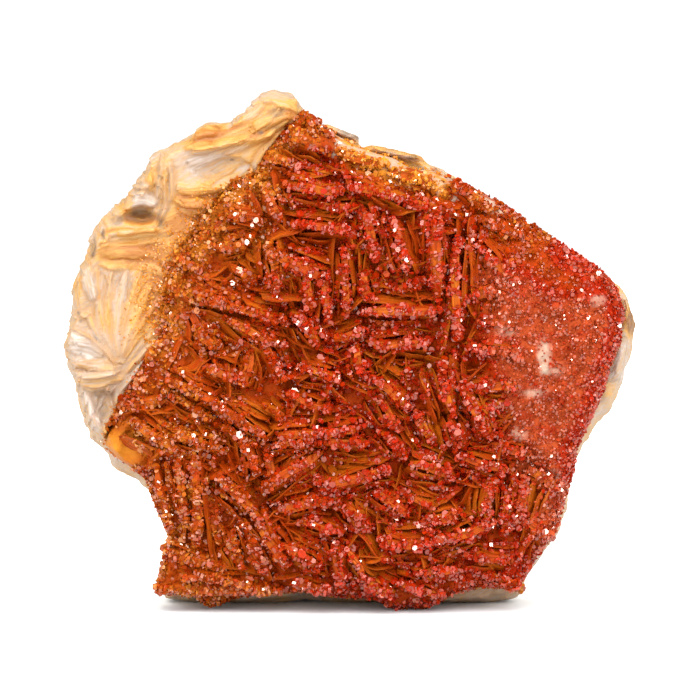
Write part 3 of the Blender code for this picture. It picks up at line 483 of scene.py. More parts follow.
def inside(outline, x, z):
    """Which of the places lie inside an outline."""
    result = np.zeros(len(x), bool)
    for (x0, z0), (x1, z1) in zip(outline, outline[1:] + outline[:1]):
        crosses = (z0 > z) != (z1 > z)
        with np.errstate(divide="ignore", invalid="ignore"):
            edge = x0 + (z - z0) * (x1 - x0) / (z1 - z0)
        result ^= crosses & (x < edge)
    return result


def path_distance(path, x, z):
    """How far each place is from an open line."""
    nearest = np.full(len(x), 1e9)
    for (x0, z0), (x1, z1) in zip(path, path[1:]):
        run = np.array([x1 - x0, z1 - z0])
        share = np.clip(((x - x0) * run[0] + (z - z0) * run[1]) / (run @ run), 0.0, 1.0)
        nearest = np.minimum(nearest, np.hypot(x - x0 - share * run[0], z - z0 - share * run[1]))
    return nearest


def spots(places, x, z):
    """Sum of soft round marks, each of a given amount."""
    total = np.zeros(len(x))
    for middle_x, middle_z, reach_x, reach_z, amount in places:
        away = np.hypot((x - middle_x) / reach_x, (z - middle_z) / reach_z)
        total += amount * fade(0.5, 1.15, away)
    return total


def from_right(x, z):
    """How far right a place is, measured across the slanting left side of the fine druse."""
    return x + 0.22 * (z - 30.0)


def on_right(x, z):
    """1 in the fine druse on the right, 0 on the blades, and smooth between them."""
    return step(24.0, 29.0, from_right(x, z))


def swell(x, z):
    """Height of the crust's ground in front of the valley floor, in millimetres."""
    dx = x - DRUSE_MIDDLE[0]
    dz = z - DRUSE_MIDDLE[1]
    across = (dx * math.cos(DRUSE_TURN) - dz * math.sin(DRUSE_TURN)) / DRUSE_RADII[0]
    up = (dx * math.sin(DRUSE_TURN) + dz * math.cos(DRUSE_TURN)) / DRUSE_RADII[1]
    dome = np.sqrt(np.clip(1.0 - across ** 2 - up ** 2, 0.0, 1.0)) * DRUSE_RISE
    rounding = 1.2 * (step(0.0, 3.0, path_distance(FREE_EDGE, x, z)) - 1.0)
    rounding += 0.5 * fade(0.0, 2.5, path_distance(LEFT_EDGE, x, z))
    return dome + rounding + 0.45 * waves(x, z, 9.0, 3) + 0.2 * waves(x, z, 2.6, 4, 2)


def crest_height(x, z):
    """Height of the blades round about, in millimetres, as a smooth surface."""
    total, weight = np.zeros_like(x, float), np.full_like(x, 1e-6, float)
    for x0, z0, x1, z1, height, _ in BLADES:
        near = np.exp(-(path_distance([(x0, z0), (x1, z1)], x, z) / 3.5) ** 2)
        total += near * height
        weight += near
    return total / weight * np.clip(weight, 0.0, 1.0)


def ground_height(x, z):
    """Height of the ground between the blades, in millimetres in front of FACE_Y."""
    return swell(x, z) + GROUND_SHARE * crest_height(x, z)


def loose_plates(rng):
    """Thin plates that cross the valleys between the blades at any angle."""
    x, z = rng.uniform(-40.0, 32.0, LOOSE_PLATES), rng.uniform(2.0, 80.0, LOOSE_PLATES)
    turn = rng.uniform(0.0, math.pi, LOOSE_PLATES)
    reach = rng.uniform(1.4, 3.6, LOOSE_PLATES)
    slope = rng.choice([-1.0, 1.0], LOOSE_PLATES) * rng.uniform(1.2, 3.2, LOOSE_PLATES)
    height = crest_height(x, z) * rng.uniform(0.60, 0.92, LOOSE_PLATES)
    nearest = np.min([path_distance([blade[:2], blade[2:4]], x, z) for blade in BLADES], axis=0)
    cos, sin = np.cos(turn), np.sin(turn)
    keep = (nearest > 1.3) & (height > 1.6) & (from_right(x, z) < 27.0)
    keep &= spots(TONGUE, x, z) < 0.2
    for end in (-1.0, 1.0):
        for foot in (0.0, 1.3):
            keep &= inside(CRUST_OUTLINE, x + end * cos * (reach + 1.2) - sin * slope * foot,
                           z + end * sin * (reach + 1.2) + cos * slope * foot)
    rows = np.stack([x - cos * reach, z - sin * reach, x + cos * reach, z + sin * reach, height,
                     np.zeros_like(x), slope, rng.uniform(-0.15, 0.15, len(x)),
                     rng.uniform(0.26, 0.44, len(x)), rng.uniform(-0.5, 0.5, len(x)),
                     np.zeros_like(x)], axis=-1)
    return rows[keep]


def crest_lengths(rows):
    """Length of the crest of each plate."""
    return np.hypot(rows[:, 2] - rows[:, 0], rows[:, 3] - rows[:, 1])


def crest_directions(rows):
    """The way along the crest of each plate."""
    runs = np.stack([rows[:, 2] - rows[:, 0], np.zeros(len(rows)), rows[:, 3] - rows[:, 1]], axis=-1)
    return runs / crest_lengths(rows)[:, None]


def blade_table():
    """Every plate of barite: each blade of the list, the thinner ones beside it, and loose ones.

    A row holds the ends of the crest, its height and lean, how far the foot lies to one side,
    how the crest tips, how thick the plate is, how it bends, and 1 for a blade or 0 for a plate.
    """
    rng = np.random.default_rng(BLADE_SEED)
    rows = []
    for index, (x0, z0, x1, z1, height, lean) in enumerate(BLADES):
        tilt = BLADE_TILT * math.sin(index * GOLDEN_ANGLE)
        slope = rng.uniform(-0.9, 0.9)
        rows.append((x0, z0, x1, z1, height, lean, slope, tilt, rng.uniform(1.3, 1.9),
                     rng.uniform(-0.6, 0.6), 1.0))
        length = math.hypot(x1 - x0, z1 - z0)
        along = np.array([x1 - x0, z1 - z0]) / length
        across = np.array([-along[1], along[0]])
        for side, gap, share in SIDE_PLATES:
            if height < 2.2 + 0.5 * gap:
                continue
            turn = rng.uniform(-0.16, 0.16)
            reach = length * rng.uniform(0.30, 0.52)
            middle = (np.array([x0 + x1, z0 + z1]) / 2.0
                      + across * (side * gap * rng.uniform(0.85, 1.2) + lean)
                      + along * length * rng.uniform(-0.2, 0.2))
            run = along * math.cos(turn) + across * math.sin(turn)
            slope = side * rng.uniform(1.6, 2.9)
            start, end = middle - run * reach, middle + run * reach
            foot = across * (slope + side * 0.8)
            feet = np.array([start - run + foot, end + run + foot])
            if inside(CRUST_OUTLINE, *feet.T).all():
                rows.append((*start, *end, height * share * rng.uniform(0.9, 1.1), 0.0, slope,
                             tilt + rng.uniform(-0.12, 0.12), rng.uniform(0.26, 0.4),
                             rng.uniform(-0.5, 0.5), 0.0))
    return np.concatenate([rows, loose_plates(rng)])


def fullness(x, z):
    """How closely crystals cover the blades at a place, from 0, bare, to 1."""
    total = 0.60 + 0.42 * waves(x, z, 8.0, 71, 2) + 0.16 * waves(x, z, 2.4, 72, 2)
    return np.clip(total - 1.3 * spots(BARE_PLACES, x, z), 0.0, 1.0)


def blade_place(rows, half, s, t, w):
    """Place on a blade: s along it from -1 to 1, t from root to crest, w across from -1 to 1."""
    x0, z0, x1, z1, height, lean, slope, tilt, thick, bend, _ = rows.T
    length = np.hypot(x1 - x0, z1 - z0)
    along_x, along_z = (x1 - x0) / length, (z1 - z0) / length
    reach = length * 0.5 + 0.2 + 1.3 * (1.0 - t)
    notch = 0.045 * np.sin(s * 7.0 + bend * 40.0) + 0.03 * np.sin(s * 17.0 + bend * 90.0)
    rise = 1.0 - 0.20 * s ** 4 + notch
    y = FACE_Y + ROOT_DEPTH - t * (ROOT_DEPTH + height * rise * (1.0 + tilt * s))
    width = half * thick * (1.35 - 0.75 * t) * (1.0 - 0.7 * np.abs(s) ** 5)
    side = (lean + slope * (1.0 - t) + bend * (s * s - 0.4) + w * width
            + 0.10 * np.sin(s * 5.0 + bend * 30.0))
    x = (x0 + x1) * 0.5 + along_x * s * reach - along_z * side
    z = (z0 + z1) * 0.5 + along_z * s * reach + along_x * side
    return np.stack([x, y, z], axis=-1)


def joined_mesh(name, template, points, material, smooth=False):
    """One mesh from many copies of a template, whose points are given for every copy."""
    copies, corners = points.shape[:2]
    sizes = np.array([len(face.vertices) for face in template.polygons])
    around = np.concatenate([list(face.vertices) for face in template.polygons])
    loops = (around[None, :] + np.arange(copies)[:, None] * corners).ravel()
    starts = np.cumsum(np.concatenate([[0], np.tile(sizes, copies)[:-1]]))
    mesh = bpy.data.meshes.new(name)
    mesh.vertices.add(copies * corners)
    mesh.vertices.foreach_set("co", np.ascontiguousarray(points, np.float32).ravel())
    mesh.loops.add(len(loops))
    mesh.loops.foreach_set("vertex_index", loops.astype(np.int32))
    mesh.polygons.add(len(starts))
    mesh.polygons.foreach_set("loop_start", starts.astype(np.int32))
    mesh.polygons.foreach_set("use_smooth", np.full(len(starts), smooth))
    mesh.update(calc_edges=True)
    mesh.validate()
    mesh.materials.append(material)
    obj = bpy.data.objects.new(name, mesh)
    bpy.context.scene.collection.objects.link(obj)
    return obj


def tablet():
    """A six-sided tablet one unit in radius and thickness."""
    deselect()
    bpy.ops.mesh.primitive_cylinder_add(vertices=6, radius=1.0, depth=1.0)
    return bpy.context.object


def rooted_tablet():
    """A six-sided tablet that comes to a point at its root, for crystals set in the ground."""
    deselect()
    bpy.ops.mesh.primitive_cone_add(vertices=6, radius1=0.0, radius2=1.0, depth=1.0)
    return bpy.context.object


def frames(axes, spins):
    """Turning matrices that carry +Z to each axis and then spin about it."""
    axes = axes / np.linalg.norm(axes, axis=1, keepdims=True)
    helper = np.where(np.abs(axes[:, :1]) < 0.8, [[1.0, 0.0, 0.0]], [[0.0, 0.0, 1.0]])
    side = np.cross(helper, axes)
    side /= np.linalg.norm(side, axis=1, keepdims=True)
    up = np.cross(axes, side)
    cos, sin = np.cos(spins)[:, None], np.sin(spins)[:, None]
    return np.stack([side * cos + up * sin, up * cos - side * sin, axes], axis=-1)


def crystals(name, template, places, axes, radii, depths, tones, rng, material):
    """Copies of a crystal at the places, as one joined mesh with a tone for each crystal."""
    corners = values_of(template.data.vertices, "co")
    scale = np.stack([radii * rng.uniform(0.75, 1.25, len(radii)), radii, depths], axis=-1)
    turned = np.einsum("nij,nkj->nki", frames(axes, rng.uniform(0.0, 6.3, len(radii))),
                       corners[None] * scale[:, None])
    obj = joined_mesh(name, template.data, (turned + places[:, None]) * MM, material)
    add_attribute(obj.data, "tone", np.repeat(tones, len(corners)))
    add_attribute(obj.data, "chance", np.repeat(rng.uniform(0.0, 1.0, len(radii)), len(corners)))
    return obj


def pulled(tone, pulls):
    """A tone pulled to others, one after the next: pulls are (tone, how much of it)."""
    for target, share in pulls:
        tone = tone - (tone - target) * share
    return tone


def crust_tone(x, z):
    """Colour of the crystals: 0 gold, 0.36 orange, 0.8 deep red, and 1 the frosted red."""
    from_left = path_distance(LEFT_EDGE, x, z)
    within = np.where(inside(CRUST_OUTLINE, x, z), from_left, -from_left)
    top = np.interp(x, [-6.0, 3.0, 14.0, 24.0, 30.0], [81.0, 76.0, 73.0, 68.5, 60.0])
    tone = pulled(0.33 + 0.47 * step(-32.0, 6.0, x + 0.10 * (z - 40.0)), [
        (0.32, fade(-15.0, -9.0, x) * step(55.0, 60.0, z)),
        (0.22, fade(0.5, 7.0, within) * step(38.0, 50.0, z)),
        (0.36, fade(0.5, 5.0, within) * fade(38.0, 50.0, z)),
        (-0.04, fade(-4.2, 0.8, within) * fade(-9.0, -6.0, x)),
        (0.04, step(-5.5, -1.5, z - top) * step(-6.0, 0.0, x) * fade(26.0, 33.0, x)),
        (0.30, step(77.5, 79.5, z) * fade(-5.0, -2.0, x)),
        (0.15, spots(TONGUE, x, z)),
        (0.30, fade(1.5, 6.0, z) * fade(-12.0, 0.0, x)),
    ])
    tone = pulled(tone - 0.22 * fade(3.0, 8.0, z) * step(12.0, 20.0, x), [
        (1.00, on_right(x, z)),
        (0.40, fade(3.0, 10.0, path_distance(TOP_RIGHT, x, z))),
        (0.82, fade(1.5, 4.0, path_distance(RIGHT_RIM, x, z))),
    ])
    return tone + 0.06 * waves(x, z, 6.0, 12)


def pale_ground(x, z):
    """How much pale barite shows in the ground of the crust."""
    width = 1.9 + 0.6 * waves(x, z, 3.0, 51, 2)
    rim = step(0.4, 1.2, width - 0.55 * path_distance(TOP_EDGE, x, z))
    return spots(PALE_PATCHES, x, z) + rim


def druse_cover(x, z):
    """How much of the ground the druse covers, from 0 to 1."""
    from_left = path_distance(LEFT_EDGE, x, z)
    top = np.interp(x, [-9.0, -6.0, 3.0, 14.0, 24.0, 30.0], [90.0, 81.0, 76.0, 73.0, 68.5, 60.0])
    covers = [
        on_right(x, z),
        step(-7.0, -4.5, z - top) * step(-8.0, -4.0, x),
        fade(2.5, 6.5, from_left) * step(44.0, 50.0, z),
        0.7 * fade(1.0, 5.0, from_left),
        step(-26.0, -14.0, x) * fade(-12.0, -8.0, x) * step(60.0, 64.0, z),
        step(16.0, 21.0, x) * fade(9.0, 13.0, z),
        0.55 * step(0.35, 0.85, waves(x, z, 7.0, 44)),
    ]
    return np.clip(np.maximum.reduce(covers) + 0.16, 0.0, 1.0)


# --- Materials -----------------------------------------------------------------------------


def add_node(tree, kind, **values):
    """Add a shader node, with its settings, and with its inputs by name."""
    made = tree.nodes.new(kind)
    for key, value in values.items():
        if hasattr(made, key):
            setattr(made, key, value)
        else:
            made.inputs[key].default_value = value
    return made


def new_material(name, roughness, ior):
    """A material with its Principled shader: the tree, and the shader."""
    made = bpy.data.materials.new(name)
    made.use_nodes = True
    surface = made.node_tree.nodes["Principled BSDF"]
    surface.inputs["Roughness"].default_value = roughness
    surface.inputs["IOR"].default_value = ior
    return made, made.node_tree, surface


def ramp(tree, factor, stops):
    """A colour that changes with a factor: stops are (place, colour)."""
    made = tree.nodes.new("ShaderNodeValToRGB")
    while len(made.color_ramp.elements) < len(stops):
        made.color_ramp.elements.new(0.5)
    for element, (place, colour) in zip(made.color_ramp.elements, stops):
        element.position = place
        element.color = (*colour, 1.0)
    tree.links.new(factor, made.inputs["Fac"])
    return made.outputs["Color"]


def mixed(tree, factor, first, second, blend="MIX"):
    """Two colours mixed by a factor; each is a socket or a colour."""
    made = tree.nodes.new("ShaderNodeMix")
    made.data_type = "RGBA"
    made.blend_type = blend
    for socket, value in ((made.inputs[0], factor), (made.inputs[6], first), (made.inputs[7], second)):
        if isinstance(value, bpy.types.NodeSocket):
            tree.links.new(value, socket)
        elif isinstance(value, (int, float)):
            socket.default_value = value
        else:
            socket.default_value = (*value, 1.0)
    return made.outputs[2]


def sums(tree, operation, *values, clamp=False):
    """Arithmetic on numbers, each a socket or a value."""
    made = add_node(tree, "ShaderNodeMath", operation=operation, use_clamp=clamp)
    for socket, value in zip(made.inputs, values):
        if isinstance(value, bpy.types.NodeSocket):
            tree.links.new(value, socket)
        else:
            socket.default_value = value
    return made.outputs[0]


def product(tree, first, second, clamp=False):
    """One number times another."""
    return sums(tree, "MULTIPLY", first, second, clamp=clamp)


def swing(tree, grain, reach):
    """A grain's number moved to lie about zero, and scaled."""
    return product(tree, sums(tree, "SUBTRACT", grain, 0.5), reach)


def attribute(tree, name, output="Fac"):
    """A number stored on the mesh."""
    return add_node(tree, "ShaderNodeAttribute", attribute_name=name).outputs[output]


def flow_coordinates(tree):
    """Coordinates that follow the grain of a piece, in millimetres."""
    return attribute(tree, "flow", "Vector")


def fibre_group():
    """The fibres and mottling that every mineral here shares, as one node group."""
    group = bpy.data.node_groups.get("mineral_grain")
    if group:
        return group
    group = bpy.data.node_groups.new("mineral_grain", "ShaderNodeTree")
    group.interface.new_socket("Place", in_out="INPUT", socket_type="NodeSocketVector")
    for name in ("Fineness", "Stretch", "Detail"):
        group.interface.new_socket(name, in_out="INPUT", socket_type="NodeSocketFloat")
    group.interface.new_socket("Grain", in_out="OUTPUT", socket_type="NodeSocketFloat")
    entry = group.nodes.new("NodeGroupInput").outputs
    leave = group.nodes.new("NodeGroupOutput")
    scale = group.nodes.new("ShaderNodeCombineXYZ")
    stretched = add_node(group, "ShaderNodeVectorMath", operation="MULTIPLY")
    grain = add_node(group, "ShaderNodeTexNoise", Scale=1.0)
    for source, target in (
            (sums(group, "DIVIDE", entry["Fineness"], entry["Stretch"]), scale.inputs["X"]),
            (entry["Fineness"], scale.inputs["Y"]), (entry["Fineness"], scale.inputs["Z"]),
            (entry["Place"], stretched.inputs[0]), (scale.outputs["Vector"], stretched.inputs[1]),
            (stretched.outputs["Vector"], grain.inputs["Vector"]),
            (entry["Detail"], grain.inputs["Detail"]), (grain.outputs["Fac"], leave.inputs["Grain"])):
        group.links.new(source, target)
    return group


def stretched_noise(tree, vector, fineness, detail, along=1.0):
    """Grain on a vector, so many to its unit, stretched along its first axis."""
    made = add_node(tree, "ShaderNodeGroup", node_tree=fibre_group())
    for name, value in (("Fineness", fineness), ("Stretch", along), ("Detail", detail)):
        made.inputs[name].default_value = value
    tree.links.new(vector, made.inputs["Place"])
    return made.outputs["Grain"]


def object_coordinates(tree):
    """The piece's own coordinates, in metres."""
    return tree.nodes.new("ShaderNodeTexCoord").outputs["Object"]


def bump(tree, surface, height, distance):
    """Fine relief on a surface."""
    made = add_node(tree, "ShaderNodeBump", Strength=1.0, Distance=distance)
    tree.links.new(height, made.inputs["Height"])
    tree.links.new(made.outputs["Normal"], surface.inputs["Normal"])


def crust_colours(colours):
    """The colours that a tone stands for, from gold to frosted red."""
    return [(0.0, colours.vanadinite_gold), (0.36, colours.vanadinite_orange),
            (0.80, colours.vanadinite_red), (1.0, colours.frosted_red)]


def vanadinite_material(colours):
    """Glassy red to orange crystals, each a little different from the next."""
    made, tree, surface = new_material("vanadinite_crystals", 0.2, 2.1)
    surface.inputs["Specular Tint"].default_value = (1.0, 0.78, 0.68, 1.0)
    chance = attribute(tree, "chance")
    colour = ramp(tree, attribute(tree, "tone"), crust_colours(colours))
    patch = stretched_noise(tree, object_coordinates(tree), 1400.0, 3.0)
    shade = product(tree, sums(tree, "MULTIPLY_ADD", chance, 0.50, 0.76),
                    sums(tree, "ADD", patch, 0.5))
    grey = tree.nodes.new("ShaderNodeCombineColor")
    for channel in grey.inputs:
        tree.links.new(shade, channel)
    tree.links.new(mixed(tree, 1.0, colour, grey.outputs[0], "MULTIPLY"), surface.inputs["Base Color"])
    tree.links.new(sums(tree, "MULTIPLY_ADD", chance, 0.11, 0.04), surface.inputs["Roughness"])
    return made


def blade_material(colours):
    """Bare barite, stained orange brown, with fine lines along each blade."""
    made, tree, surface = new_material("stained_barite", 0.38, 1.45)
    surface.inputs["Specular Tint"].default_value = (1.0, 0.55, 0.30, 1.0)
    flow = flow_coordinates(tree)
    lines = stretched_noise(tree, flow, 5.0, 3.0, along=16.0)
    bands = stretched_noise(tree, flow, 0.9, 2.0, along=7.0)
    patch = stretched_noise(tree, object_coordinates(tree), 160.0, 3.0)
    golden = sums(tree, "ADD", sums(tree, "MULTIPLY_ADD", patch, 1.6, -0.62),
                  swing(tree, bands, 1.4), clamp=True)
    colour = mixed(tree, golden, colours.stained_barite, colours.golden_barite)
    dark = ramp(tree, lines, [(0.30, (0.60, 0.50, 0.42)), (0.62, (1.25, 1.25, 1.25))])
    tree.links.new(mixed(tree, 1.0, colour, dark, "MULTIPLY"), surface.inputs["Base Color"])
    bump(tree, surface, lines, 0.25 * MM)
    return made


def ground_material(colours):
    """Stained ground between the blades."""
    made, tree, surface = new_material("crust_ground", 0.5, 1.35)
    surface.inputs["Specular Tint"].default_value = (1.0, 0.45, 0.20, 1.0)
    patch = stretched_noise(tree, object_coordinates(tree), 700.0, 5.0)
    colour = ramp(tree, patch, [(0.35, [0.6 * part for part in colours.stained_barite]),
                                (0.65, colours.stained_barite)])
    coat = ramp(tree, attribute(tree, "tone"), crust_colours(colours))
    colour = mixed(tree, attribute(tree, "cover"), colour, coat)
    pale = product(tree, attribute(tree, "pale"), product(tree, patch, 1.6), clamp=True)
    colour = mixed(tree, pale, colour, colours.cream_barite)
    tree.links.new(colour, surface.inputs["Base Color"])
    bump(tree, surface, patch, 0.6 * MM)
    return made


def rock_material(colours):
    """Cream barite with fibres, ochre stain, brown seams, a few dark specks and painted shade in two
    recesses.
    """
    made, tree, surface = new_material("cream_barite", 0.5, 1.64)
    surface.inputs["Subsurface Weight"].default_value = 0.35
    surface.inputs["Subsurface Radius"].default_value = (1.0, 0.6, 0.35)
    surface.inputs["Subsurface Scale"].default_value = 1.2 * MM
    flow, where = flow_coordinates(tree), object_coordinates(tree)
    fibres = stretched_noise(tree, flow, 2.2, 4.0, along=10.0)
    threads = stretched_noise(tree, flow, 6.0, 2.0, along=14.0)
    fine = stretched_noise(tree, where, 1100.0, 6.0)
    cloud = stretched_noise(tree, where, 170.0, 4.0)
    stain = sums(tree, "ADD", attribute(tree, "stain"), swing(tree, cloud, 0.9))
    stain = sums(tree, "ADD", stain, swing(tree, fibres, 1.5))
    colour = ramp(tree, sums(tree, "MULTIPLY_ADD", stain, 0.5, 0.25), [
        (0.0, colours.white_barite), (0.25, colours.cream_barite),
        (0.58, colours.ochre_barite), (0.92, colours.rust_barite)])
    seams = ramp(tree, threads, [(0.28, (0.82, 0.70, 0.58)), (0.50, (1.0, 1.0, 1.0))])
    crease = attribute(tree, "crease")
    even = sums(tree, "SUBTRACT", 1.0, crease, clamp=True)
    colour = mixed(tree, product(tree, even, 0.8), colour, seams, "MULTIPLY")
    colour = mixed(tree, product(tree, crease, 0.32), colour, colours.ochre_barite, "MULTIPLY")
    # Dark brown of the marks; in two recesses it is painted shade.
    marked = product(tree, attribute(tree, "mark_and_shade"), product(tree, fine, 1.7), clamp=True)
    colour = mixed(tree, marked, colour, (0.17, 0.095, 0.05))
    tree.links.new(colour, surface.inputs["Base Color"])
    relief = sums(tree, "ADD", fibres, product(tree, fine, 0.5))
    relief = sums(tree, "ADD", relief, product(tree, threads, 0.35))
    bump(tree, surface, product(tree, relief, even), 0.14 * MM)
    return made


# --- Pieces --------------------------------------------------------------------------------


def copy_of_node(node, name):
    """A merged copy of one of the frame's solids."""
    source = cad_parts[node]
    obj = bpy.data.objects.new(name, source.data.copy())
    obj.data.materials.clear()
    bpy.context.scene.collection.objects.link(obj)
    with editing(obj):
        bpy.ops.mesh.remove_doubles(threshold=0.001 * MM)
        bpy.ops.mesh.normals_make_consistent(inside=False)
    return obj


def remeshed(obj, grain, smoothing):
    """Give an object an even fine mesh and soften it."""
    remesh = obj.modifiers.new("even", "REMESH")
    remesh.mode = "VOXEL"
    remesh.voxel_size = grain
    smooth = obj.modifiers.new("soft", "SMOOTH")
    smooth.factor = 0.5
    smooth.iterations = smoothing
    return apply_modifiers(obj)


def settle(piece, node):
    """A piece rides on the specimen's one body and stands for a solid, which is hidden."""
    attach(piece, "root")
    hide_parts(node)


def sheaf_line(sheaf, x, z):
    """Where places lie against a sheaf's curved middle line: share along it, offset and length."""
    start, middle, end = (np.array(sheaf[i:i + 2]) for i in (0, 2, 4))
    bow = 2.0 * middle - (start + end) / 2.0
    shares = np.linspace(0.0, 1.0, 9)[:, None]
    line = (1.0 - shares) ** 2 * start + 2.0 * shares * (1.0 - shares) * bow + shares ** 2 * end
    best, offset, share = np.full(len(x), 1e9), np.full(len(x), 1e9), np.zeros(len(x))
    for index, (first, last) in enumerate(zip(line, line[1:])):
        run = last - first
        part = ((x - first[0]) * run[0] + (z - first[1]) * run[1]) / (run @ run)
        held = np.clip(part, 0.0, 1.0)
        away_x, away_z = x - first[0] - held * run[0], z - first[1] - held * run[1]
        away = np.hypot(away_x, away_z)
        nearer = away < best
        side = np.sign(run[0] * away_z - run[1] * away_x)
        best[nearer] = away[nearer]
        offset[nearer] = (away * side)[nearer]
        share[nearer] = (index + part[nearer]) / (len(line) - 1)
    return share, offset, float(np.hypot(*np.diff(line, axis=0).T).sum())


def sheaf_relief(x, z, open_face):
    """Relief of the sheaves on the open face: height, run of the fibres, stain, strength and owner."""
    height, stain, strength = np.zeros((3, len(x)))
    along, across = 0.9 * x + 0.42 * z, 0.9 * z - 0.42 * x
    owner = np.full(len(x), -1)
    for index, sheaf in enumerate(SHEAVES):
        width, lift, steep, tint = sheaf[6:]
        share, offset, length = sheaf_line(sheaf, x, z)
        near = open_face & (np.abs(offset) < 2.2 * width) & (share > -0.05) & (share < 1.05)
        share, offset = np.clip(share[near], 0.0, 1.0), offset[near]
        ends = np.clip(4.0 * share * (1.0 - share), 0.0, 1.0)
        place = offset / (width * (0.25 + 0.75 * ends ** 0.6))
        place += 0.10 * np.sin(share * length * 1.7 + index)
        domed = np.clip(1.0 - place ** 2, 0.0, 1.0) ** 0.7
        uphill = np.sign(steep) * place
        sloped = np.clip((1.0 + uphill) / 2.0, 0.0, 1.0) * fade(0.92, 1.10, uphill)
        shape = (1.0 - abs(steep)) * domed + abs(steep) * sloped
        rise = lift * shape * np.clip(ends * 3.0, 0.0, 1.0) ** 0.7
        over = rise > height[near]
        risen = np.flatnonzero(near)[over]
        height[risen] = rise[over]
        along[risen] = share[over] * length + index * 17.3
        across[risen] = offset[over] + index * 5.1
        stain[risen] = tint
        strength[risen] = np.clip(1.25 - np.abs(place[over]) ** 3, 0.0, 1.0)
        owner[risen] = index
    return height, along, across, stain, strength, owner


def creases(mesh, owner):
    """1 on the vertices where one sheaf meets the next, and less on those beside them."""
    ends = np.empty(len(mesh.edges) * 2, np.int32)
    mesh.edges.foreach_get("vertices", ends)
    first, last = ends.reshape(-1, 2).T
    marked = np.zeros(len(owner))
    meet = owner[first] != owner[last]
    marked[first[meet]] = 1.0
    marked[last[meet]] = 1.0
    spread = marked.copy()
    np.maximum.at(spread, first, 0.5 * marked[last])
    np.maximum.at(spread, last, 0.5 * marked[first])
    return spread


class SPECIMEN_OT_rock(bpy.types.Operator):
    """Model the pale barite rock"""

    bl_idname = "specimen.rock"
    bl_label = "Rock"

    def execute(self, context):
        sizes, colours = context.scene.specimen_sizes, context.scene.specimen_colours
        rock = remeshed(copy_of_node("barite_matrix", "barite_rock"), sizes.grain, 3)
        self.soften(rock)
        self.refine(rock)
        mesh = rock.data
        points, facing = points_of(mesh)
        x, y, z = points.T
        front = step(0.10, 0.55, -facing[:, 1]) * step(-6.6, -8.0, y)
        rough = lumps(points, 6.0, 1)
        fine = lumps(points, 1.9, 2)
        rise, along, across, tint, strength, owner = sheaf_relief(x, z, front > 0.01)
        height = (0.30 + 0.55 * step(-4.0, 4.0, y)) * rough + (0.26 - 0.14 * front) * fine
        height *= 1.0 - 0.7 * front * strength
        height[z < 0.6] = 0.0
        ledges = (z / 3.1 + 0.8 * waves(x, z, 7.0, 31, 2)) % 1.0 - 0.5
        height -= 0.4 * ledges * step(0.2, 0.7, -facing[:, 0]) * step(24.0, 28.0, z)
        points += facing * height[:, None]
        fibres = 0.03 * np.sin(across * 9.0 + 0.8 * np.sin(along * 0.6)) * strength
        scoops = spots(SCOOPS, x, z)
        calm = 1.0 - 0.8 * np.clip(scoops, 0.0, 1.0)
        points[:, 1] -= front * (0.7 * rise * calm + fibres * calm - scoops)
        points[:, 2] = np.maximum(points[:, 2], 0.0)
        set_points(mesh, points)
        self.paint(mesh, x, y, z, front, tint, strength, along, across)
        add_attribute(mesh, "crease", creases(mesh, owner) * front)
        mesh.materials.append(rock_material(colours))
        chosen(rock)
        bpy.ops.object.shade_smooth_by_angle(angle=math.radians(50.0))
        settle(rock, "barite_matrix")
        return {"FINISHED"}

    def soften(self, rock):
        """Round the strip along the top right, and the right edge."""
        x, y, z = points_of(rock.data)[0].T
        worn = ((x > -7.0) & (z > 64.0) | (x > 36.0)) & (y < 2.0)
        with editing(rock, "VERT", worn):
            bpy.ops.mesh.vertices_smooth(factor=0.5, repeat=9)

    def refine(self, rock):
        """Finer faces where the rock is open to the front."""
        faces = rock.data.polygons
        x, y, z = values_of(faces, "center").T / MM
        open_face = (values_of(faces, "normal")[:, 1] < -0.12) & (y < -6.0)
        open_face &= ~inside(CRUST_OUTLINE, x, z) | (path_distance(LEFT_EDGE, x, z) < 1.0)
        with editing(rock, "FACE", open_face):
            bpy.ops.mesh.subdivide(number_cuts=1)

    def paint(self, mesh, x, y, z, front, tint, strength, along, across):
        """Store the stain, the marks with the painted shade in two recesses, and the run of the fibres
        on the rock.
        """
        near_crust = path_distance(LEFT_EDGE, x, z)
        rim = np.maximum(step(38.0, 42.0, x), step(-8.0, -4.0, x) * step(68.0, 72.0, z))
        shown = np.maximum(front, rim * step(1.0, -6.0, y + 2.0 * waves(y, z, 5.0, 53, 2)))
        beside = step(46.0, 50.0, z) * shown
        stain = 0.24 + 0.10 * waves(x, z, 11.0, 8)
        stain += 0.62 * fade(0.5, 7.5, near_crust) * beside
        # The stain in the recess under the pillow is partly painted shade.
        stain += spots(STAINS_AND_RECESS_SHADE, x, z) * shown
        stain += (tint - stain) * 0.50 * strength * front
        stain += 0.35 * fade(0.3, 2.6, near_crust) * beside * fade(71.0, 75.0, z)
        add_attribute(mesh, "stain", stain)
        add_attribute(mesh, "mark_and_shade", spots(MARKS_AND_RECESS_SHADE, x, z) * shown)
        add_attribute(mesh, "flow", np.stack([along, across, y], axis=-1))


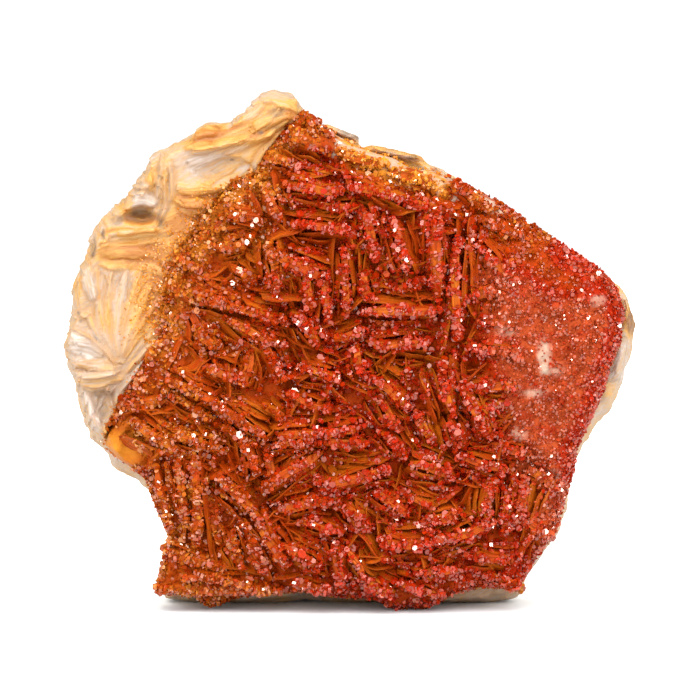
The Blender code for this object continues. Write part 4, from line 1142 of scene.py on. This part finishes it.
class SPECIMEN_OT_ground(bpy.types.Operator):
    """Model the ground of the crust, which the blades and the druse stand on"""

    bl_idname = "specimen.ground"
    bl_label = "Ground of the crust"

    def execute(self, context):
        sizes, colours = context.scene.specimen_sizes, context.scene.specimen_colours
        ground = copy_of_node("vanadinite_crust", "crust_ground")
        with editing(ground):
            bpy.ops.mesh.bisect(plane_co=(0.0, (FACE_Y + 0.15) * MM, 0.0),
                                plane_no=(0.0, -1.0, 0.0), use_fill=True, clear_outer=True)
        mesh = remeshed(ground, sizes.ground_grain, 2).data
        points, facing = points_of(mesh)
        x, y, z = points.T
        front = step(0.2, 0.9, -facing[:, 1])
        points[:, 1] -= front * ground_height(x, z)
        set_points(mesh, points)
        add_attribute(mesh, "cover", np.maximum(druse_cover(x, z), spots(TONGUE, x, z)))
        add_attribute(mesh, "tone", crust_tone(x, z))
        spread = 3.0 * (1.0 - front)
        pale = pale_ground(x + spread * waves(y, x, 4.0, 58, 2), z + spread * waves(y, z, 4.0, 59, 2))
        add_attribute(mesh, "pale", pale)
        mesh.materials.append(ground_material(colours))
        settle(ground, "vanadinite_crust")
        return {"FINISHED"}


class SPECIMEN_OT_blades(bpy.types.Operator):
    """Model the barite blades as thin plates, all in one mesh"""

    bl_idname = "specimen.blades"
    bl_label = "Blades"

    def execute(self, context):
        sizes, colours = context.scene.specimen_sizes, context.scene.specimen_colours
        deselect()
        bpy.ops.mesh.primitive_grid_add(x_subdivisions=6, y_subdivisions=2, size=2.0)
        plate = context.object
        shell = plate.modifiers.new("thickness", "SOLIDIFY")
        shell.thickness = 2.0
        shell.offset = 0.0
        apply_modifiers(plate)
        s, t, w = values_of(plate.data.vertices, "co").T
        t = t * 0.5 + 0.5
        rows, half = blade_table(), sizes.blade_half / MM
        places = np.stack([blade_place(row[None, :], half, s, t, w) for row in rows])
        blades = joined_mesh("barite_blades", plate.data, places * MM, blade_material(colours))
        flow = np.stack([s[None] * crest_lengths(rows)[:, None] * 0.5,
                         t[None] * rows[:, HEIGHT, None],
                         np.arange(len(rows))[:, None] * 3.7 + w[None] * 0.4], axis=-1)
        add_attribute(blades.data, "flow", flow)
        bpy.data.objects.remove(plate)
        with editing(blades):
            bpy.ops.mesh.normals_make_consistent(inside=False)
        bpy.ops.object.shade_smooth_by_angle(angle=math.radians(40.0))
        settle(blades, "vanadinite_crust")
        return {"FINISHED"}


def unit_vectors(rng, count):
    """Random directions."""
    made = rng.normal(size=(count, 3))
    return made / np.linalg.norm(made, axis=1, keepdims=True)


def grow(name, template, parts, rng, colours):
    """Crystals from several lots of (places, axes, radii, depths), as pieces of moderate size."""
    material = bpy.data.materials.get("vanadinite_crystals") or vanadinite_material(colours)
    places, axes, radii, depths = (np.concatenate(group) for group in zip(*parts))
    tones = crust_tone(places[:, 0], places[:, 2]) + rng.normal(0.0, 0.08, len(places))
    fine = 0.72 + 0.28 * step(0.02, 0.30, tones)
    radii, depths = radii * fine, depths * fine
    order = np.argsort(places[:, 0])
    each = sum(len(face.vertices) - 2 for face in template.data.polygons)
    for number, part in enumerate(np.array_split(order, math.ceil(len(order) * each / PIECE_TRIANGLES))):
        piece = crystals(f"{name}_{number + 1}", template, places[part], axes[part], radii[part],
                         depths[part], tones[part], rng, material)
        settle(piece, "vanadinite_crust")
    bpy.data.objects.remove(template)


class SPECIMEN_OT_crest_crystals(bpy.types.Operator):
    """Grow a coat of tablets over the blades, with clumps on it and single ones on the sides"""

    bl_idname = "specimen.crest_crystals"
    bl_label = "Crystals on the blades"

    coat_count: count_setting("Coat", "Tablets on each millimetre of a blade", 27)
    side_count: count_setting("Side coat", "Tablets on each millimetre of a thinner plate", 12)
    spacing: length_setting("Clumps", "Spacing of the clumps along a crest", 1.5)

    def execute(self, context):
        self.sizes, colours = context.scene.specimen_sizes, context.scene.specimen_colours
        rng = np.random.default_rng(self.sizes.seed)
        rows = blade_table()
        blades, plates = rows[rows[:, IS_BLADE] > 0.5], rows[rows[:, IS_BLADE] < 0.5]
        parts = [self.coat(blades, rng), self.clumps(blades, rng), self.side_coat(plates, rng)]
        lot = [np.concatenate(group) for group in zip(*parts)]
        low, high = self.sizes.crystal_low, self.sizes.crystal_high
        large = lot[2] > (low + 0.4 * (high - low)) / MM
        grow("crest_crystals", tablet(), [[part[large] for part in lot], self.large(rng)], rng, colours)
        small = [part[~large] for part in lot]
        small[1] = small[1] + [0.0, -0.7, 0.0]
        grow("side_crystals", rooted_tablet(), [small, self.singles(rows, rng)], rng, colours)
        return {"FINISHED"}

    def places(self, rows, s, t, w):
        """Places on the blades: along each, up it and across it."""
        return blade_place(rows, self.sizes.blade_half / MM, s, t, w)

    def owners(self, rows, each):
        """Which blade each tablet grows on, for so many to a millimetre of crest."""
        return np.repeat(np.arange(len(rows)), np.round(crest_lengths(rows) * each).astype(int))

    def radii(self, rng, few, many, count):
        """Radii of tablets, more of them small than large."""
        low, high = self.sizes.crystal_low / MM, self.sizes.crystal_high / MM
        return low + (high - low) * rng.beta(few, many, count)

    def leans(self, rng, along, share, spread):
        """Directions: a share of them near that of the crest, the others any way."""
        count = len(along)
        return np.where(rng.uniform(size=(count, 1)) < share,
                        along + spread * unit_vectors(rng, count), unit_vectors(rng, count))

    def coat(self, rows, rng):
        """Tablets over the crest and down both sides of each blade, to a ragged lower edge."""
        owner = self.owners(rows, self.coat_count)
        s = np.clip(rng.uniform(-1.06, 1.06, len(owner)), -1.0, 1.0)
        around = rng.uniform(-1.0, 1.0, len(owner))
        side = np.sign(around)
        run = s * crest_lengths(rows)[owner] / 2.0 + owner * 31.7
        ragged = waves(run, side * 9.0, 4.5, 61) + 0.5 * waves(run, side * 9.0, 1.4, 62)
        share = (s + 1.0) / 2.0
        x0, z0, x1, z1 = rows[owner, :4].T
        full = fullness(x0 + share * (x1 - x0), z0 + share * (z1 - z0))
        keep = np.abs(around) < 0.26 + 0.56 * full + 0.26 * ragged
        owner, s, around, side = owner[keep], s[keep], around[keep], side[keep]
        total = len(owner)
        crest = np.abs(around) < 0.30
        t = np.where(crest, 1.0, 1.0 - 0.62 * (np.abs(around) - 0.30) / 0.70)
        w = np.where(crest, around / 0.30, side * 1.05)
        places = self.places(rows[owner], s, t, w)
        places += unit_vectors(rng, total) * rng.uniform(0.0, 0.28, (total, 1))
        axes = self.leans(rng, crest_directions(rows)[owner], 0.35, 0.4)
        radii = self.radii(rng, 1.3, 3.2, total)
        return places, axes, radii, radii * rng.uniform(0.4, 1.0, total)

    def side_coat(self, rows, rng):
        """Tablets on the thinner plates, wherever the crust is full."""
        owner = self.owners(rows, self.side_count)
        total = len(owner)
        places = self.places(rows[owner], rng.uniform(-1.0, 1.0, total),
                             rng.uniform(0.45, 1.0, total), 1.2 * np.sign(rows[owner, SLOPE]))
        keep = rng.uniform(0.25, 0.75, total) < fullness(places[:, 0], places[:, 2])
        places = places[keep]
        total = len(places)
        radii = self.radii(rng, 1.3, 3.2, total)
        return places, unit_vectors(rng, total), radii, radii * rng.uniform(0.4, 1.0, total)

    def clumps(self, rows, rng):
        """Clumps of tablets, close together along the crest of each blade."""
        counts = np.round(crest_lengths(rows) / (self.spacing / MM))
        owner = np.repeat(np.arange(len(rows)), np.maximum(1, counts).astype(int))
        total = len(owner)
        s = np.clip(rng.uniform(-1.05, 1.05, total), -1.0, 1.0)
        lower = rng.uniform(size=total) < 0.5
        t = np.where(lower, rng.uniform(0.58, 0.95, total), rng.uniform(0.92, 1.0, total))
        w = np.where(lower, np.where(rng.uniform(size=total) < 0.5, -1.1, 1.1),
                     rng.uniform(-0.8, 0.8, total))
        middles = self.places(rows[owner], s, t, w)
        reach = rng.uniform(0.38, 0.90, total) * (0.70 + 0.34 * step(-24.0, 6.0, middles[:, 0]))
        lean = self.leans(rng, crest_directions(rows)[owner], 0.4, 0.3)
        clump = np.repeat(np.arange(total), np.round(5.0 + 11.0 * reach ** 2).astype(int))
        count = len(clump)
        way = unit_vectors(rng, count)
        way[:, 1] = -np.abs(way[:, 1])
        places = middles[clump] + way * reach[clump, None] * rng.uniform(0.55, 1.0, (count, 1))
        axes = lean[clump] + 0.75 * unit_vectors(rng, count)
        radii = self.radii(rng, 1.4, 3.0, count) * (0.7 + 0.4 * reach[clump])
        return places, axes, radii, radii * rng.uniform(0.5, 1.1, count)

    def large(self, rng):
        """Larger tablets on the crests, each turned so that a spark light glints in it."""
        x, z, radii = np.array(LARGE_TABLETS).T
        places, axes = [], []
        for index, (hit, _) in enumerate(met_from_front("barite_blades", x, z)):
            y = hit.y / MM if hit is not None else FACE_Y - 3.0
            places.append((x[index], y - 0.7, z[index]))
            axes.append(direction(*SPARKS[index % 4]) + direction(0.0, CAMERA_HEIGHT))
        return (np.array(places), np.array(axes) + 0.16 * unit_vectors(rng, len(x)), radii,
                radii * rng.uniform(0.7, 1.2, len(x)))

    def singles(self, rows, rng):
        """Small tablets scattered on the sides of the plates."""
        owner = self.owners(rows, 2.4)
        total = len(owner)
        side = np.where(rng.uniform(size=total) < 0.5, -1.1, 1.1)
        places = self.places(rows[owner], rng.uniform(-1.0, 1.0, total),
                             rng.uniform(0.25, 1.0, total), side)
        radii = rng.uniform(0.14, 0.36, total)
        return places, unit_vectors(rng, total), radii, radii * rng.uniform(0.6, 1.1, total)


class SPECIMEN_OT_druse(bpy.types.Operator):
    """Grow the fine crystals on the ground, the rim and the edge of the rock"""

    bl_idname = "specimen.druse"
    bl_label = "Druse"

    ground_count: count_setting("Ground", "Fine tablets tried on the ground of the crust", 60000)
    rim_count: count_setting("Rim", "Fine tablets on the side of the crust", 5600)
    rock_count: count_setting("Rock", "Fine tablets on the rock beside the crust, at most", 9000)
    seam_count: count_setting("Join", "Fine tablets between the crust and the rock", 3200)

    def execute(self, context):
        sizes, colours = context.scene.specimen_sizes, context.scene.specimen_colours
        rng = np.random.default_rng(sizes.seed + 1)
        parts = []
        for places, normals, size in (self.ground(rng), self.rim(rng), self.rock(rng), self.seam(rng)):
            count = len(places)
            radii = sizes.druse_size / MM * rng.uniform(0.6, 1.5, count) * size
            parts.append((places, normals + 1.1 * unit_vectors(rng, count), radii,
                          radii * rng.uniform(0.7, 1.3, count)))
        grow("druse", rooted_tablet(), parts, rng, colours)
        return {"FINISHED"}

    def ground(self, rng):
        """Fine crystals on the ground wherever no blade stands over it."""
        x = rng.uniform(-42.0, 46.0, self.ground_count)
        z = rng.uniform(0.0, 84.0, self.ground_count)
        keep = inside(CRUST_OUTLINE, x, z)
        x, z = x[keep], z[keep]
        bare = spots(TONGUE, x, z) + 0.95 * pale_ground(x, z)
        keep = rng.uniform(size=len(x)) < druse_cover(x, z) - bare
        x, z = x[keep], z[keep]
        y = FACE_Y - ground_height(x, z)
        met = met_from_front("barite_blades", x, z)
        keep = [hit is None or hit.y > (depth - 0.2) * MM for (hit, _), depth in zip(met, y)]
        x, y, z = x[keep], y[keep], z[keep]
        reach = 0.25
        slope_x = (swell(x + reach, z) - swell(x - reach, z)) / (2.0 * reach)
        slope_z = (swell(x, z + reach) - swell(x, z - reach)) / (2.0 * reach)
        normals = np.stack([-slope_x, -np.ones_like(x), -slope_z], axis=-1)
        size = 1.0 + 0.5 * step(0.0, 1.0, waves(x, z, 5.0, 40))
        size *= 1.0 - 0.25 * on_right(x, z)
        return np.stack([x, y, z], axis=-1), normals, size

    def rim(self, rng):
        """Crystals on the side of the crust where it is the rim of the specimen."""
        places, normals = points_of(bpy.data.objects["crust_ground"].data)
        x, y, z = places.T
        side = (np.abs(normals[:, 1]) < 0.85) & (y < SEAT_Y - 0.3)
        side &= path_distance(FREE_EDGE, x, z) < 1.8
        side &= spots(TONGUE, x, z) < 0.5
        behind = (y > FACE_Y + 2.0) & (waves(y, x + z, 3.0, 57, 2) > -0.1)
        side &= (path_distance(TOP_EDGE, x, z) > 0.9) | behind
        picked = rng.choice(np.flatnonzero(side), self.rim_count)
        places = places[picked] + 0.32 * unit_vectors(rng, self.rim_count)
        places[:, 2] = np.maximum(places[:, 2], FLOOR_GAP)
        return places, normals[picked], np.full(self.rim_count, 1.3)

    def rock(self, rng):
        """A thinning scatter of fine crystals on the rock beside the crust."""
        x = rng.uniform(-46.0, -6.0, self.rock_count * 10)
        z = rng.uniform(24.0, 86.0, self.rock_count * 10)
        away = path_distance(LEFT_EDGE, x, z)
        patchy = 0.75 + 0.5 * waves(x, z, 3.4, 52, 2)
        chance = np.exp(-away / 2.8) * patchy * fade(4.0, 7.5, away) * step(44.0, 50.0, z)
        chance *= 1.0 - 0.75 * step(63.0, 67.0, z)
        chance += 0.7 * np.exp(-away / 0.35)
        chance *= fade(70.5, 73.5, z)
        keep = ~inside(CRUST_OUTLINE, x, z) & (rng.uniform(size=len(x)) < chance)
        x, z = x[keep][:self.rock_count], z[keep][:self.rock_count]
        met = met_from_front("barite_rock", x, z)
        found = [(hit / MM, normal) for hit, normal in met if hit is not None]
        places, normals = (np.array(group) for group in zip(*found))
        away = path_distance(LEFT_EDGE, places[:, 0], places[:, 2])
        return places, normals, 0.75 + 0.6 * np.exp(-away / 1.6)

    def seam(self, rng):
        """Crystals that fill the join between the crust and the open rock."""
        line = np.array(LEFT_EDGE)
        runs = np.diff(line, axis=0)
        lengths = np.hypot(*runs.T)
        owner = rng.choice(len(runs), self.seam_count, p=lengths / lengths.sum())
        flat = line[owner] + runs[owner] * rng.uniform(size=(self.seam_count, 1))
        flat += rng.normal(0.0, 0.42, (self.seam_count, 2))
        flat = flat[spots(TONGUE, *flat.T) < 0.5]
        depth = rng.uniform(FACE_Y - 0.2, FACE_Y + 1.4, len(flat))
        places = np.stack([flat[:, 0], depth, flat[:, 1]], axis=-1)
        return places, np.tile([0.0, -1.0, 0.0], (len(flat), 1)), np.full(len(flat), 1.5)


# --- Stage ---------------------------------------------------------------------------------

CAMERA_HEIGHT = 6.0          # degrees above the level of the specimen
CAMERA_AWAY = 0.95           # metres
LIGHT_AWAY = 1.25
IMAGE_SIZE = 700
PIXELS_PER_METRE = 6000.0
LOOK_AT = Vector((0.0, -12.0 * MM, 44.0 * MM))

# Small bright lights that make the facets glint: turn from the camera's side, and height.
SPARKS = [(-36.0, 32.0), (30.0, 40.0), (-8.0, 22.0), (52.0, 52.0), (-64.0, 48.0), (14.0, 66.0),
          (-22.0, 50.0), (38.0, 14.0), (10.0, 34.0), (-48.0, 62.0), (72.0, 34.0)]


def direction(turn, height):
    """The way to a place round the specimen, from its turn from the camera's side and its height."""
    turn, height = math.radians(turn), math.radians(height)
    return Vector((math.sin(turn) * math.cos(height), -math.cos(turn) * math.cos(height),
                   math.sin(height)))


def aimed(obj, away):
    """Put a light or a camera so far away from the middle of the picture, and turn it there."""
    obj.location = LOOK_AT + away
    obj.rotation_euler = (-away).to_track_quat("-Z", "Y").to_euler()
    bpy.context.scene.collection.objects.link(obj)
    return obj


def soft_light(name, size, radiance, turn, height):
    """A square studio light that faces the specimen, placed by its turn from the camera's side."""
    data = bpy.data.lights.new(name, "AREA")
    data.shape = "SQUARE"
    data.size = size
    data.energy = radiance * math.pi * size * size
    aimed(bpy.data.objects.new(name, data), direction(turn, height) * LIGHT_AWAY)


def camera_sees(tree, seen, otherwise, output):
    """Show one shader to the camera and another to the light; the node that tells them apart."""
    path = tree.nodes.new("ShaderNodeLightPath")
    mix = tree.nodes.new("ShaderNodeMixShader")
    for source, target in ((path.outputs["Is Camera Ray"], mix.inputs["Fac"]),
                           (otherwise, mix.inputs[1]), (seen, mix.inputs[2]),
                           (mix.outputs["Shader"], tree.nodes[output].inputs["Surface"])):
        tree.links.new(source, target)
    return path


class SPECIMEN_OT_stage(bpy.types.Operator):
    """Set the floor, the camera, the lights and the surroundings"""

    bl_idname = "specimen.stage"
    bl_label = "Stage"

    def execute(self, context):
        self.floor()
        self.camera(context.scene)
        self.surroundings(context.scene)
        soft_light("overhead", 1.0, 2.2, 0.0, 58.0)
        soft_light("left", 0.6, 3.2, -54.0, 18.0)
        soft_light("right", 0.55, 3.1, 58.0, 22.0)
        for number, (turn, height) in enumerate(SPARKS):
            soft_light(f"spark_{number + 1}", 0.13, 18.0, turn, height)
        return {"FINISHED"}

    def floor(self):
        """A white floor, which sends less light back to the specimen than the camera sees."""
        deselect()
        bpy.ops.mesh.primitive_plane_add(size=1.2, location=(0.0, 0.0, 0.0))
        floor = bpy.context.object
        floor.name = "floor"
        made, tree, surface = new_material("pale_floor", 0.9, 1.3)
        surface.inputs["Base Color"].default_value = (0.90, 0.94, 0.95, 1.0)
        # Painted light: the floor glows white outside an oval round the specimen's foot, so that only
        # the shadow near it shows grey.
        oval = add_node(tree, "ShaderNodeVectorMath", operation="MULTIPLY_ADD")
        tree.links.new(object_coordinates(tree), oval.inputs[0])
        oval.inputs[1].default_value = (1.0 / 0.110, 1.0 / 0.062, 0.0)
        oval.inputs[2].default_value = (0.002 / 0.110, 0.014 / 0.062, 0.0)
        away = add_node(tree, "ShaderNodeVectorMath", operation="LENGTH")
        tree.links.new(oval.outputs["Vector"], away.inputs[0])
        glow = ramp(tree, away.outputs["Value"], [(0.36, (0.0, 0.0, 0.0)), (0.80, (0.7, 0.7, 0.7))])
        tree.links.new(glow, surface.inputs["Emission Color"])
        surface.inputs["Emission Strength"].default_value = 1.0
        dim = add_node(tree, "ShaderNodeBsdfDiffuse", Color=(0.60, 0.60, 0.60, 1.0))
        camera_sees(tree, surface.outputs["BSDF"], dim.outputs["BSDF"], "Material Output")
        floor.data.materials.append(made)

    def camera(self, scene):
        """A long lens, a little above the level of the specimen."""
        data = bpy.data.cameras.new("camera")
        data.sensor_width = 36.0
        width = IMAGE_SIZE / PIXELS_PER_METRE
        data.lens = data.sensor_width * CAMERA_AWAY / width
        away = direction(0.0, CAMERA_HEIGHT) * CAMERA_AWAY
        scene.camera = aimed(bpy.data.objects.new("camera", data), away)

    def surroundings(self, scene):
        """White behind the specimen, dim to its reflections."""
        world = bpy.data.worlds.new("studio")
        scene.world = world
        world.use_nodes = True
        tree = world.node_tree
        back = tree.nodes["Background"]
        back.inputs["Color"].default_value = (1.0, 1.0, 1.0, 1.0)
        seen = add_node(tree, "ShaderNodeBackground", Color=(1.0, 1.0, 1.0, 1.0), Strength=1.2)
        path = camera_sees(tree, seen.outputs["Background"], back.outputs["Background"], "World Output")
        fill = sums(tree, "MULTIPLY_ADD", path.outputs["Is Glossy Ray"], -1.44, 1.48)
        tree.links.new(fill, back.inputs["Strength"])
        scene.view_settings.view_transform = "Standard"


class SPECIMEN_PT_panel(bpy.types.Panel):
    """The pieces of the specimen, in the order that they are built"""

    bl_idname = "SPECIMEN_PT_panel"
    bl_label = "Vanadinite on matrix"
    bl_space_type = "VIEW_3D"
    bl_region_type = "UI"
    bl_category = "Specimen"

    def draw(self, context):
        for group in (context.scene.specimen_sizes, context.scene.specimen_colours):
            for name in group.__annotations__:
                self.layout.prop(group, name)
        for operator in OPERATORS:
            self.layout.operator(operator.bl_idname)


OPERATORS = (SPECIMEN_OT_rock, SPECIMEN_OT_ground, SPECIMEN_OT_blades,
             SPECIMEN_OT_crest_crystals, SPECIMEN_OT_druse, SPECIMEN_OT_stage)
CLASSES = (SpecimenSizes, SpecimenColours, *OPERATORS, SPECIMEN_PT_panel)


def register():
    """Add the classes and the settings to Blender."""
    for item in CLASSES:
        bpy.utils.register_class(item)
    bpy.types.Scene.specimen_sizes = PointerProperty(type=SpecimenSizes)
    bpy.types.Scene.specimen_colours = PointerProperty(type=SpecimenColours)


def unregister():
    """Take the classes and the settings out again."""
    del bpy.types.Scene.specimen_colours
    del bpy.types.Scene.specimen_sizes
    for item in reversed(CLASSES):
        bpy.utils.unregister_class(item)


def main():
    """Build every piece."""
    register()
    bpy.ops.specimen.rock()
    bpy.ops.specimen.ground()
    bpy.ops.specimen.blades()
    bpy.ops.specimen.crest_crystals()
    bpy.ops.specimen.druse()
    bpy.ops.specimen.stage()


if __name__ == "__main__":
    main()
